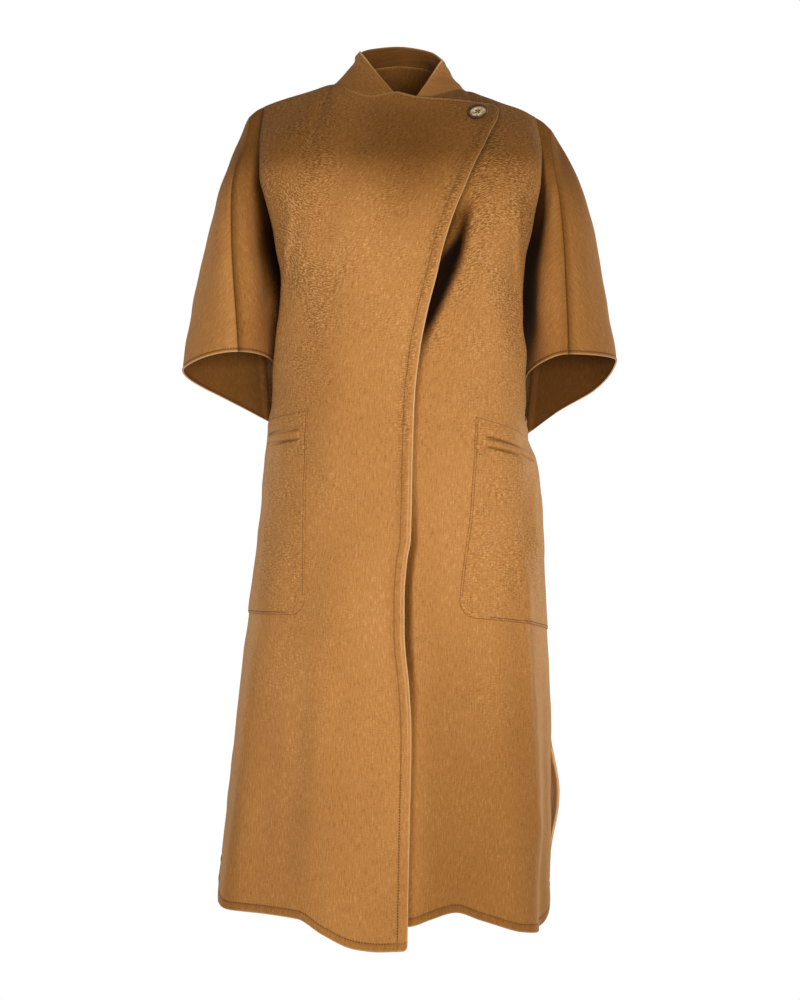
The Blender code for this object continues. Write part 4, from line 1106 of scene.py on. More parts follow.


# Painted light and shade: by the height table, and painted shade on upward faces, towards the hem, on the left front's
# lower part where it faces forward, and on the wings.
def painted_light_and_shade_at(places, normals):
    x, z = places[:, 0], places[:, 2]
    top = blend(HEIGHT_SHADE_SIDE(np.sign(x), z), HEIGHT_SHADE_MIDDLE(z), bump((x - 12) / 95))
    up = 1 - UPWARD_SHADE * fade(normals[:, 2], 0.08, 0.68)
    facing = ease(-2 * normals[:, 1])
    low = 1 - BOTTOM_SHADE * fade(z, -680, -1100)
    low_left = 1 - LEFT_BOTTOM_SHADE * fade(z, -560, -900) * fade(x, 0, 50) * facing
    wing = 1 - WING_SHADE * fade(np.abs(x), 195, 207) * np.where(x > 0, 1.0, 0.45) * facing
    return top * up * low * low_left * wing


# The crevice between the body and the front of the sleeve, where little light reaches: how far
# it is quite dark on the sleeve, how far it shades off, and its darkness, on either side.
CREVICE = table("z core_right core_left soft dark_right dark_left",
    (-45, 0, 0, 10, 0.10, 0.15), (-80, 0, 3, 14, 0.25, 0.40), (-110, 2, 10, 24, 0.60, 0.70),
    (-141, 12, 20, 33, 0.86, 0.86), (-204, 18, 24, 38, 0.98, 0.97),
    (-240, 16, 26, 40, 0.98, 0.98), (-262, 11, 27, 40, 0.97, 0.98), (-282, 5, 27, 38, 0.88, 0.98),
    (-311, 0, 24, 42, 0.70, 0.95), (-345, 0, 12, 36, 0.45, 0.80), (-400, 0, 0, 18, 0.10, 0.30))
CREVICE_CORE = both(CREVICE, "core_right", "core_left")
CREVICE_DARK = both(CREVICE, "dark_right", "dark_left")
CREVICE_SOFT = profile(CREVICE, "soft")
DEPTH_SHADE = 0.975


def crevice_tone(panel, arm, move):
    """How dark the painted shade is in the crevice beside the body, and in a trough by its depth."""
    f, z = panel.fields, panel.places[:, 2]
    core, soft = CREVICE_CORE(panel.side, z), CREVICE_SOFT(z)
    from_fold = np.where(arm, sleeve_mm(f["u"]), (90 - np.abs(f["u"])) * DEGREE * 1.6 + core)
    dark = CREVICE_DARK(panel.side, z) * ease((soft - from_fold) / (soft - core))
    low = fade(z, -425, -395) if panel.side else fade(z, -335, -275)
    return (1 - dark * low) * (1 - DEPTH_SHADE * fade(move, -2.5, -14.5))


SIDE_SHADE, SLEEVE_LIGHT = 0.22, {RIGHT: 0.72, LEFT: 0.78}


def side_tone(panel, arm):
    """Painted shade: the body's side above the elbow turns away from the light behind a soft ridge, and the sleeves'
    fronts are painted darker.
    """
    u, z = np.abs(panel.fields["u"]), panel.places[:, 2]
    crest = 49 + 15 * fade(z, -150, -260)
    shade = ease((u - crest + 2) / 7) * fade(z, -268, -246) * fade(z, -120, -170)
    return np.where(arm, SLEEVE_LIGHT[panel.side], 1 - SIDE_SHADE * shade)


SEAM_TONE, SEAM_REACH = 0.72, 2.6
SLEEVE_SEAM_TONE, SLEEVE_SEAM_REACH = 0.48, 1.9
LAP_TONE, LAP_WIDTH = 0.44, 11.0
STITCH_LINE_SHADE, LINE_SHARPNESS, HEM_STRIP_SHADE = 0.72, 1.6, 0.84
EDGE_BAND_SHADE, BAND_AT, BAND_WIDTH = 0.16, 12.0, 7.0
ROLL_HIGHLIGHT, ROLL_AT, ROLL_HALF = 0.45, 4.6, 1.3
RIDGE_HIGHLIGHT, RIDGE_HIGHLIGHT_HALF, VENT_DULL = 0.12, 4.0, 0.7
SIDE_TURN, SIDE_TURN_WIDTH, SIDE_SHEEN, SIDE_SHEEN_LIGHT = 0.60, 0.3, 0.40, 0.08
UNDER_SHADE = 0.6
LINE_FROM = -840.0                  # above this height the edge's sewing is a soft trough


def edge_above(z):
    return fade(z, LINE_FROM, LINE_FROM + 80)


def in_vent(z):
    return fade(z, VENT_TOP, VENT_TOP - 14)


# The shade that the overlap's edge casts on the left front: its width and darkness by height.
CONTACT = table("z width dark",
    (-60, 4, 0.30), (-120, 5, 0.40), (-330, 5, 0.40), (-400, 5, 0.40), (-480, 5, 0.30),
    (-540, 7, 0.45), (-600, 9, 0.66), (-650, 9, 0.74), (-710, 9, 0.72), (-760, 8, 0.55),
    (-820, 6, 0.40), (-1000, 5, 0.30))
CONTACT_WIDTH, CONTACT_DARK = profiles(CONTACT, "width dark")


def contact_tone(x, z):
    beyond = x - OVERLAP_EDGE_X(z)
    return 1 - CONTACT_DARK(z) * ease((CONTACT_WIDTH(z) - beyond) / 5.0 + 0.5)


def under_tone(x, z):
    """The half shade between the overlap's edge and the trough, over the trough's top."""
    reach = fade(z, -285, -195) * fade(z, -140, -185)
    return 1 - UNDER_SHADE * reach * fade(x, TROUGH_X(z) + 8, TROUGH_X(z))


def painted_side_sheen(facing, z):
    """Where the body's sides turn across the view and get a painted sheen, paler and lighter."""
    return fade(np.abs(facing), SIDE_TURN, SIDE_TURN - SIDE_TURN_WIDTH) * fade(z, -400, -460)


def line_tone(panel):
    """How dark seams and stitch lines are, with painted shade in grooves and beside edges, and how pale the painted
    highlight makes the free rims.
    """
    f, x, z = panel.fields, panel.places[:, 0], panel.places[:, 2]
    body, vent, neck = f["arm"] < 0.5, in_vent(z), np.abs(x) < NECK_HALF_WIDTH
    on_seam = ~neck & (x < 0) if panel.side == RIGHT else ~neck
    seams = np.minimum(f["seam"] + FAR * vent, np.where(on_seam, f["top"], FAR))
    # One side of a sleeve's seam laps over the other, which lies in its shade.
    lapped = panel.side == RIGHT if panel.side else x > 0
    # Dark seams, and painted shade in the stitch grooves, on the lapped side of a sleeve's seam and on the strip along
    # the hem.
    tone = ((1 - (1 - SEAM_TONE) * fade(seams, SEAM_REACH, 0))
            * (1 - (1 - SLEEVE_SEAM_TONE) * fade(f["over"], SLEEVE_SEAM_REACH, 0))
            * (1 - LAP_TONE * lapped * fade(f["over"], LAP_WIDTH, 0) * fade(z, -70, -140))
            * (1 - (1 - STITCH_LINE_SHADE) * clamp(panel.line) ** LINE_SHARPNESS)
            * (1 - (1 - HEM_STRIP_SHADE) * body * fade(f["hem"], HEM_STITCH, HEM_STITCH - 2)))
    # Painted shade along the soft trough where the front edge is sewn.
    if panel.side:
        tone = tone * (1 - EDGE_BAND_SHADE * edge_above(z) * bell(f["edge"], BAND_AT, BAND_WIDTH))
    if panel.side == LEFT:
        tone = tone * contact_tone(x, z) * under_tone(x, z)
    # Painted highlight on the free rims. Below the collar the rim is sunk, and along the overlap's top its light line
    # is wider.
    sunk = neck & (x < COLLAR_RIGHT_END) if panel.side == RIGHT else neck
    from_top = np.where(on_seam, FAR, np.where(sunk, f["top"] - COLLAR_SINK, f["top"] / 2.2))
    free = np.minimum.reduce([f["edge"], f["hem"], np.where(vent > 0.5, f["seam"], FAR), from_top])
    pale = fade(free, RIM_WIDTH, 0)
    if panel.side == RIGHT:
        # The rolled front edge shows a second painted highlight over its middle part.
        roll = fade(z, -430, -510) * fade(z, -900, -780)
        pale = np.maximum(pale, ROLL_HIGHLIGHT * roll * bump((f["edge"] - ROLL_AT) / ROLL_HALF))
    tone = tone * (1 + (RIM_HIGHLIGHT - 1) * pale)
    # Painted highlight along the left front's ridge.
    if panel.side == LEFT:
        from_ridge = (x - RIDGE_X(z)) / RIDGE_HIGHLIGHT_HALF
        pale = np.maximum(pale, RIDGE_HIGHLIGHT * RIDGE_HEIGHT(z) * bump(from_ridge))
    # Inside the vent the painted highlight is dulled.
    if not panel.side:
        pale = pale * (1 - VENT_DULL * (vent > 0.5) * body)
    turned = body * painted_side_sheen(panel.facing, z)
    return tone * (1 + SIDE_SHEEN_LIGHT * turned), np.maximum(pale, SIDE_SHEEN * turned)


BASE_NAP, UPPER_NAP, LOW_NAP, ARM_NAP = 0.15, 0.55, 0.12, 0.16
PUCKER_NAP, TROUGH_NAP = 0.48, 0.4


def panel_nap(panel):
    """How strongly the pile ripples: most on the upper chest, the shoulders and a front's edge."""
    f, x, z = panel.fields, panel.places[:, 0], panel.places[:, 2]
    outer = fade(np.abs(x), 40, 115)
    nap = clamp(BASE_NAP + UPPER_NAP * fade(z, -500, -180) * (0.42 + 0.58 * outer)
                + LOW_NAP * outer * fade(z, -900, -700))
    nap = np.where(np.minimum(f["arm"], fade(np.abs(x), 150, 170)) > 0.5, ARM_NAP, nap)
    if panel.side:
        # Small puckers cross the strip along the front edge in its upper part.
        puckers = bell(f["edge"], 11, 8) * fade(z, -620, -400) * fade(z, -55, -165)
        nap = clamp(nap + PUCKER_NAP * puckers) * fade(f["edge"], 1.5, 4.5)
    if panel.side == LEFT:
        nap = clamp(nap + TROUGH_NAP * bell(x, TROUGH_X(z) + 14, 14) * fade(z, -380, -320))
    return nap


LEFT_INSIDE, NECK_INSIDE, VENT_INSIDE, ARM_LIGHT = 0.45, 0.45, 1.9, 4.0


def inside_tone(panel):
    """How dark a panel's inner face is with painted shade: more in the left sleeve, less below the collar, and painted
    light in the vent.
    """
    x, z = panel.places[:, 0], panel.places[:, 2]
    inner = INNER_TONE * (1 - LEFT_INSIDE * fade(x, 130, 170))
    inner = blend(inner, NECK_INSIDE, fade(z, -90, -40) * fade(np.abs(x), 85, 65))
    if not panel.side:
        # Light comes in under the sleeve, onto the cloth beside the body.
        from_fold = (90 - np.abs(panel.fields["u"])) * DEGREE
        beside = (panel.fields["arm"] < 0.5) * (0.1 + 0.9 * fade(from_fold, 0, 30))
        inner = inner * (1 + ARM_LIGHT * beside * fade(z, -325, -355) * fade(z, -470, -450))
    inner = blend(inner, VENT_INSIDE, fade(z, -770, -790) * fade(np.abs(x), 150, 160))
    return blend(inner, 1.0, panel.pale)


def make_panel(panel, replaced, flat, area, rests_on):
    finish_panel(panel)
    f = panel.fields
    panel.last_normals = panel.normals(panel.places)
    to_rim = np.minimum.reduce([f["seam"], f["over"], f["top"], f["edge"], f["hem"]])
    thing = cloth_shell(panel.name, panel.places, panel.last_normals, panel.quads, to_rim, WALL,
                        np.stack([f["across"], f["down"]], axis=1), panel_nap(panel),
                        panel.tones, inside_tone(panel), panel.pale, panel.pinch)
    as_cloth(thing, replaced, "hung", flat, rests_on, area=area)


# ---- stitches ---------------------------------------------------------------------------------

DASH_LENGTH, DASH_WIDTH, DASH_HEIGHT, DASH_SINK, DASH_TAPER = 2.2, 0.75, 0.26, 0.05, 0.72
DASH_BASE = np.array([[-1, -1], [1, -1], [1, 1], [-1, 1]]) * [DASH_LENGTH / 2, DASH_WIDTH]
DASH = np.vstack([np.insert(DASH_BASE * taper, 2, side * DASH_HEIGHT, axis=1)
                  for side, taper in ((-1, 1.0), (1, DASH_TAPER))])
DASH_FACES = np.array([[0, 3, 2, 1], [4, 5, 6, 7], [0, 1, 5, 4], [1, 2, 6, 5], [2, 3, 7, 6],
                       [3, 0, 4, 7]])
EDGE_SPACING, PATCH_SPACING, PANEL_SPACING = 2.6, 2.8, 3.5
LINE_DARKENS = -860.0                # below this height the front edge's sewing is dark


def crossing(grid, ways, values, at, down=False):
    """Places with normals where a field, which grows or shrinks along a grid, has a value."""
    if down:
        grid, ways, values = (a.swapaxes(0, 1) for a in (grid, ways, values))
    points = []
    for line, value in zip(np.concatenate([grid, ways], axis=2), values):
        if value[0] > value[-1]:
            line, value = line[::-1], value[::-1]
        if value[0] <= at <= value[-1]:
            points.append(pick(at, value, line))
    return np.array(points)


def dashes(points, spacing):
    """Short stitches along a line of places with normals."""
    along = lengths(points[:, :3])
    spots = np.arange(spacing / 2, along[-1], spacing)
    at = pick(spots, along, points)
    ahead, behind = (pick(spots + step, along, points[:, :3]) for step in (0.6, -0.6))
    way, normal = unit(ahead - behind), unit(at[:, 3:])
    axes = np.stack([way, np.cross(normal, way), normal], axis=1)
    places = (at[:, :3] - normal * DASH_SINK)[:, None] + DASH @ axes
    faces = DASH_FACES + 8 * np.arange(len(spots))[:, None, None]
    return places.reshape(-1, 3), faces.reshape(-1, 4).tolist()


def sew(name, lines, spacing, thread="thread"):
    add_object(name, *joined([dashes(line, spacing) for line in lines if len(line) > 2]), thread)


def sew_panel(panel):
    f, body = panel.fields, panel.body
    lower = body[:, ROWS_TOP:]

    def line(numbers, field, at, down=False):
        return crossing(panel.places[numbers], panel.last_normals[numbers], f[field][numbers], at,
                        down)

    lines = [line(lower[f["edge"][body[:, -1]] > EDGE_STITCH], "hem", HEM_STITCH)]
    if panel.side:
        front = line(body, "edge", EDGE_STITCH, True)[4:-10]
        dark = front[:, 2] <= LINE_DARKENS
        sew(panel.name.replace("_cloth", "_edge_stitches"), [front[~dark]], EDGE_SPACING, "tonal")
        lines.append(front[dark])
    if panel.side == RIGHT:
        top = line(body[:, :ROWS_TOP], "top", TOP_STITCH)
        lines.append(top[top[:, 0] > COLLAR_RIGHT_END + 6][6:])
    for sleeve in panel.sleeves:
        hem = line(sleeve, "hem", SLEEVE_STITCH)
        inner = np.hstack([hem[:, :3] - hem[:, 3:] * (WALL - 1.5 * GROOVE_DEPTH), -hem[:, 3:]])
        lines += [hem, inner]
    if panel.side:
        vent = line(lower, "seam", VENT_STITCH, True)
        lines.append(vent[vent[:, 2] < VENT_TOP - 6][:-6])
    sew(panel.name.replace("_cloth", "_stitches"), lines, PANEL_SPACING)


# ---- collar, pockets, welts, button -----------------------------------------------------------

def turned_out(grid):
    """A plain grid's normals, and 1 if they look away from the garment's axis, otherwise -1."""
    normals = unit(np.cross(np.gradient(grid, axis=0), np.gradient(grid, axis=1)))
    return normals, np.sign((normals * grid * [1.0, 1.0, 0.0]).sum())


def grid_normals(grid):
    normals, sign = turned_out(grid)
    return normals * sign


def grid_quads(grid):
    quads = quads_of(np.arange(grid[..., 0].size).reshape(grid.shape[:2]))
    return quads if turned_out(grid)[1] > 0 else quads[:, ::-1]


def neck_line(panel, side, end_x):
    """A front's top line along the neck, from the collar's end round to the shoulder."""
    line = panel.neck
    keep = (side * (line[:, 0] - end_x) > 0.4) & (np.abs(line[:, 0]) < NECK_INSIDE_X)
    shoulder = np.array([side * NECK_HALF_WIDTH, 0.0, float(TOP_Z(side, NECK_HALF_WIDTH))])
    return np.vstack([pick(side * end_x, side * line[:, 0], line), line[keep], shoulder])


NECK_INSIDE_X = NECK_HALF_WIDTH - 0.6
COLLAR_PUFF, COLLAR_INSIDE, COLLAR_NAP, COLLAR_LEFT_LIGHT = 0.2, 0.50, 0.3, 0.22


def make_collar(right, left, back):
    nape = back.neck[np.abs(back.neck[:, 0]) < NECK_INSIDE_X]
    base = np.vstack([neck_line(right, RIGHT, COLLAR_RIGHT_END), nape,
                      neck_line(left, LEFT, COLLAR_LEFT_END)[::-1]])
    along = lengths(base)
    turn = spaced(along[-1], SEAMED, SEAMED, 3.0)
    base = pick(turn * along[-1], along, base)
    for _ in range(6):
        base[1:-1] = (base[:-2] + base[2:]) / 4 + base[1:-1] / 2
    top = np.array([line(turn) for line in COLLAR_TOP_LINES]).T
    foot = base - unit(top - base) * COLLAR_SINK
    share = spaced(66.0, SEAMED, SEAMED, 2.4)[None, :, None]
    grid = blend(top[:, None], foot[:, None], share)
    flat = unit(grid[..., :2])
    hollow = COLLAR_HOLLOW * flat[..., 0] ** 2 * np.sin(np.pi * share[..., 0])
    grid[..., :2] -= flat * hollow[..., None]
    high, low = arc(grid, 1), arc(grid, 1, True)
    rim = np.minimum.reduce([arc(grid, 0), arc(grid, 0, True), high])
    uneven = wobble(900 + arc(grid, 0), high) * 0.8 * fade(rim, 0, 12) * fade(low, 0, 12)
    move = uneven + COLLAR_PUFF * bump((rim - 3.5) / 5.0)
    quads = grid_quads(grid)
    grid = grid + grid_normals(grid) * move[..., None]
    # Painted highlight on the collar's rims, painted light on its left half, and painted shade on its inner face.
    pale = fade(rim, RIM_WIDTH, 0)
    light = 1 + COLLAR_LEFT_LIGHT * fade(grid[..., 0], -10, 10)
    thing = cloth_shell("collar_cloth", grid, grid_normals(grid), quads,
                        np.minimum(rim, low + 0.3), COLLAR_WALL,
                        np.stack([arc(grid, 0) + 500, high], axis=-1), COLLAR_NAP,
                        light * (1 + (RIM_HIGHLIGHT - 1) * pale), COLLAR_INSIDE, 0.8 * pale)
    as_cloth(thing, "collar", "stretched", (0.40, 0.075), ["right_front", "left_front", "back"],
             area=0.022)


POCKET_COLUMN_ENDS = EDGE_COLUMNS, FRONT_COLUMNS - 0.2
WELT_COLUMN_ENDS = EDGE_COLUMNS + 0.7, FRONT_COLUMNS - 1.6
POCKET_WIDTH, PATCH_STITCH = 165.0, 3.6
# A pocket or welt: how far it lies off the front, its wall, its corner's radius and its nap.
Patch = namedtuple("Patch", "rise wall corner nap")
POCKET, WELT = Patch(1.5, 2.0, 20.0, 0.45), Patch(3.1, 1.6, 0.0, 0.12)
RIM_SHADE, TOP_SHADE, LOW_SHADE, END_SHADE = 1.9, 0.45, 0.5, 0.32
WELT_SHADE, WELT_SHADE_WIDTH = 0.62, 1.8


def on_front(side, columns, top, bottom, shares):
    """Places on a front between two lines across it, creased as the front is."""
    z = blend(line_at(top, columns)[:, None], line_at(bottom, columns)[:, None], shares[None, :])
    grid = front_place(side, columns[:, None], z)
    u, grid = grid[..., 3], grid[..., :3]
    from_side = (FRONT_COLUMNS - columns)[:, None] / POCKET_COLUMNS * POCKET_WIDTH
    move = (creased(FRONT_CREASES[side], np.abs(u), grid[..., 2], round_mm)
            + wobble(round_mm(u), grid[..., 2])) * fade(from_side, 0, 16)
    if side == LEFT:
        move = move + ridge(grid[..., 0], grid[..., 2])
    return grid + grid_normals(grid) * move[..., None]


def make_patch(kind, side, part, columns, top, bottom, shares, flat, rests_on):
    """A pocket or welt on a front, with its shaded rims; its places and normals."""
    grid = on_front(side, columns, top, bottom, shares)
    normals, quads = grid_normals(grid), grid_quads(grid)
    inner, low, high = arc(grid, 0), arc(grid, 1, True), arc(grid, 1)
    if part.corner:
        grid = round_corner(grid, inner, low, part.corner)
    rim = np.minimum.reduce([inner, arc(grid, 0, True), low, high])
    dark = (1 - TOP_SHADE * fade(high, RIM_SHADE, 0)) * (1 - LOW_SHADE * fade(low, RIM_SHADE, 0))
    lift_out = part.rise * (0.45 + 0.55 * fade(rim, 0, 3.2))
    if part is POCKET:
        lift_out = lift_out + stitched(rim, PATCH_STITCH) * 0.7
        # The pocket's inner side is shaded too, and so is the cloth beside the welt's edges.
        above, below = (line_at(ends[side], columns)[:, None] for ends in (WELT_TOP, WELT_BOTTOM))
        gap = np.minimum(np.abs(grid[..., 2] - above - 1.2), np.abs(grid[..., 2] - below + 1.2))
        start, end = WELT_COLUMN_ENDS
        along = fade(columns, start, start + 0.2) * fade(columns, end, end - 0.2)
        dark = dark * (1 - END_SHADE * fade(inner, RIM_SHADE, 0))
        dark = dark * (1 - WELT_SHADE * along[:, None] * fade(gap, WELT_SHADE_WIDTH, 0))
    placed = grid + normals * lift_out[..., None]
    normals = grid_normals(placed)
    turned = painted_side_sheen(normals[..., 1], placed[..., 2])
    name = SIDE_NAME[side] + "_" + kind
    thing = cloth_shell(name + "_cloth", placed, normals, quads, rim, part.wall,
                        np.stack([arc(grid, 0) + 333, -grid[..., 2]], axis=-1), part.nap,
                        dark * (1 + SIDE_SHEEN_LIGHT * turned), pale=SIDE_SHEEN * turned)
    as_cloth(thing, name, "laid", flat, [rests_on])
    return placed, normals


def make_pocket(side, flat):
    name = SIDE_NAME[side]
    columns = blend(*POCKET_COLUMN_ENDS, spaced(POCKET_WIDTH, SEAMED_WIDE, SEAMED, 3.2))
    placed, normals = make_patch(
        "pocket", side, POCKET, columns, POCKET_TOP[side], POCKET_BOTTOM[side],
        spaced(250.0, SEAMED_WIDE, SEAMED_WIDE, 3.2), flat, name + "_front")
    inner = crossing(placed, normals, arc(placed, 0), PATCH_STITCH, True)
    low = crossing(placed, normals, arc(placed, 1, True), PATCH_STITCH)
    sew(name + "_pocket_side_stitches", [inner[3:-14]], EDGE_SPACING, "tonal")
    sew(name + "_pocket_stitches", [low[16:-2]], PATCH_SPACING)
    columns = blend(*WELT_COLUMN_ENDS, spaced(120.0, SEAMED, SEAMED, 2.4))
    make_patch("welt", side, WELT, columns, WELT_TOP[side], WELT_BOTTOM[side],
               spaced(12.0, SEAMED, SEAMED, 1.2), (0.12, 0.013), name + "_pocket")


BUTTON_RINGS = [                    # radius and height, turned from the back to the middle
    (10.6, 0.0), (11.7, 0.5), (12.5, 1.3), (13.0, 2.3), (12.9, 3.1), (12.4, 3.8), (11.6, 4.15),
    (10.9, 4.0), (10.2, 3.5), (9.2, 2.95), (7.8, 2.6), (5.6, 2.45), (3.0, 2.4),
]
BUTTON_HIGH, BUTTON_MIDDLE = 4.15, 2.4
BUTTON_MOVED = -1.6, -6.0           # across and up, in its own plane, to where it is sewn on
BUTTON_SIDES, HOLE_SIDES, ROD_SIDES = 48, 16, 12
HOLE_SPREAD = 2.6
HOLE_RINGS = [(1.5, -0.02), (1.15, 0.16), (0.85, 0.03)]     # radius and height over the middle
THREAD_RADIUS, SHANK_RADIUS = 0.5, 2.6


def button_frame():
    """The button's axes across, up and out, and where its solid begins and ends along them."""
    normal = front_normal(front_angle(np.array(BUTTON_X), BUTTON_Z), BUTTON_Z)
    side_way = unit(np.cross([0.0, 0.0, 1.0], normal))
    axes = np.array([side_way, np.cross(normal, side_way), normal])
    along = np.array([tuple(v.co) for v in frame["nodes"]["button"].data.vertices]) / MM @ axes.T
    return axes, along.min(axis=0), along.max(axis=0)


def circle(radius, height, sides):
    turn = 2 * np.pi * np.arange(sides) / sides
    return np.stack([radius * np.cos(turn), radius * np.sin(turn), height + 0 * turn], axis=1)


def stacked(rings, first_face=True):
    """Rings of places joined in order, with a flat face over the last one, and the first one."""
    sides, last = len(rings[0]), len(rings[0]) * (len(rings) - 1)
    here = np.arange(sides)
    after = (here + 1) % sides
    faces = [face for k in range(0, last, sides) for face in np.stack(
        [k + here, k + after, k + sides + after, k + sides + here], axis=1).tolist()]
    faces.append((last + here).tolist())
    if first_face:
        faces.append(here[::-1].tolist())
    return np.vstack(rings), faces


def rod(start, end, radius):
    """A rounded rod between two places."""
    way = unit(np.subtract(end, start))
    other = unit(np.cross(way, [0.3, 0.2, 0.9]))
    ring = circle(radius, 0.0, ROD_SIDES) @ np.array([other, np.cross(way, other), way])
    round_off = way * radius * 0.5
    return stacked([start + ring * 0.5, start + round_off + ring, end - round_off + ring,
                    end + ring * 0.5])


def make_button():
    """The button turned finer, on the solid's own axis, with its holes and thread."""
    axes, low, high = button_frame()
    middle = np.append((low + high)[:2] / 2 + BUTTON_MOVED, high[2] - BUTTON_HIGH)
    shank = high[2] - BUTTON_HIGH - low[2]
    up = np.array([0.0, 0.0, 1.0])
    holes = [HOLE_SPREAD * np.array([math.cos(turn), math.sin(turn), 0.0])
             for turn in math.pi / 4 + math.pi / 2 * np.arange(4)]
    lower, upper = (BUTTON_MIDDLE + 0.12) * up, (BUTTON_MIDDLE + 0.3) * up

    def add(name, part, material, smooth=True):
        places, faces = part
        return add_object(name, (middle + places) @ axes, faces, material, smooth)

    turned = add("button_turned", stacked([circle(r, h, BUTTON_SIDES) for r, h in BUTTON_RINGS]),
                 "horn")
    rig.replaces(turned, "button")
    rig.slot(turned, "horn")
    # Holes are dark sunk discs with a low lip, and thread fills them and wraps the shank.
    add("button_holes", joined([
        stacked([hole + circle(r, BUTTON_MIDDLE + h, HOLE_SIDES) for r, h in HOLE_RINGS], False)
        for hole in holes]), "thread", False)
    add("button_thread", joined([rod(holes[0] + lower, holes[2] + lower, THREAD_RADIUS),
                                 rod(holes[1] + upper, holes[3] + upper, THREAD_RADIUS),
                                 rod(-(shank + 1.0) * up, 0.6 * up, SHANK_RADIUS)]), "thread")


# ---- materials --------------------------------------------------------------------------------

class Nodes:
    """Short calls for a material's nodes and links."""

    def __init__(self, name):
        self.material = bpy.data.materials.new(name)
        self.material.use_nodes = True
        self.tree = self.material.node_tree

    def put(self, node, inputs):
        for key, value in inputs.items():
            if isinstance(value, bpy.types.NodeSocket):
                self.tree.links.new(value, node.inputs[key])
            else:
                node.inputs[key].default_value = value
        return node

    def add(self, kind, inputs, output=0, **settings):
        node = self.tree.nodes.new("ShaderNode" + kind)
        for key, value in settings.items():
            setattr(node, key, value)
        return self.put(node, inputs).outputs[output]

    def maths(self, operation, a, b=0.0, use_clamp=False):
        return self.add("Math", {0: a, 1: b}, operation=operation, use_clamp=use_clamp)

    def centred(self, value, weight):
        """How far a value is off one half, times a weight."""
        return self.maths("MULTIPLY", self.maths("SUBTRACT", value, 0.5), weight)

    def noise(self, vector, scale=1.0, detail=2.0, roughness=0.5, distortion=0.0, output="Fac"):
        return self.add("TexNoise", {"Vector": vector, "Scale": scale, "Detail": detail,
                                     "Roughness": roughness, "Distortion": distortion}, output)

    def vectors(self, operation, a, b, output=0):
        return self.add("VectorMath", {0: a, 1: b}, output, operation=operation)

    def attribute(self, name):
        return self.add("Attribute", {}, "Fac", attribute_name=name, attribute_type="GEOMETRY")

    def ramp(self, value, low, high):
        return self.add("MapRange", {"Value": value, "From Min": low, "From Max": high},
                        interpolation_type="SMOOTHSTEP")

    def mix(self, share, a, b, **settings):
        return self.add("Mix", {"Factor": share, "A": a, "B": b}, "Result", data_type="RGBA",
                        **settings)

    def bump(self, height, distance, strength, **normal):
        return self.add("Bump", {"Height": height, "Distance": distance, "Strength": strength,
                                 **normal}, "Normal")

    def surface(self, inputs):
        self.put(self.tree.nodes["Principled BSDF"], inputs)
        return self.material


CAMEL_DARK, CAMEL = (0.30, 0.118, 0.028, 1.0), (0.50, 0.218, 0.060, 1.0)
CAMEL_LIGHT, CAMEL_HIGHLIGHT = (0.72, 0.360, 0.125, 1.0), (0.80, 0.52, 0.28, 1.0)
HIGHLIGHT_SHARE = 0.55
SHADE_POWERS = 1.0, 1.14, 1.5
# The pile's ripples, hairs and fuzz: how many to a metre along and across.
RIPPLES, HAIRS, FUZZ, BROAD = (200, 660, 1), (600, 95, 1), (1500, 800, 1), (9, 4, 1)
RIPPLE_BEND = (0.003, 0.006, 1.0)
RIPPLE_TONE, HAIR_TONE, FUZZ_TONE, BROAD_TONE = 1.12, 1.3, 0.6, 0.16
DARK_THREAD = (0.060, 0.018, 0.002, 1.0), (0.11, 0.040, 0.006, 1.0)
TONAL_THREAD = (0.17, 0.058, 0.007, 1.0), (0.27, 0.105, 0.016, 1.0)
CREAM = (0.30, 0.19, 0.06, 1.0), (0.80, 0.66, 0.38, 1.0)
DARK_HORN = (0.020, 0.008, 0.003, 1.0), (0.10, 0.045, 0.014, 1.0)
CREAM_MOVED = 0.9, -1.0             # the pale middle isn't quite in the button's middle
CREAM_END, HORN_START, MARBLE = 0.0086, 0.0108, 0.0045


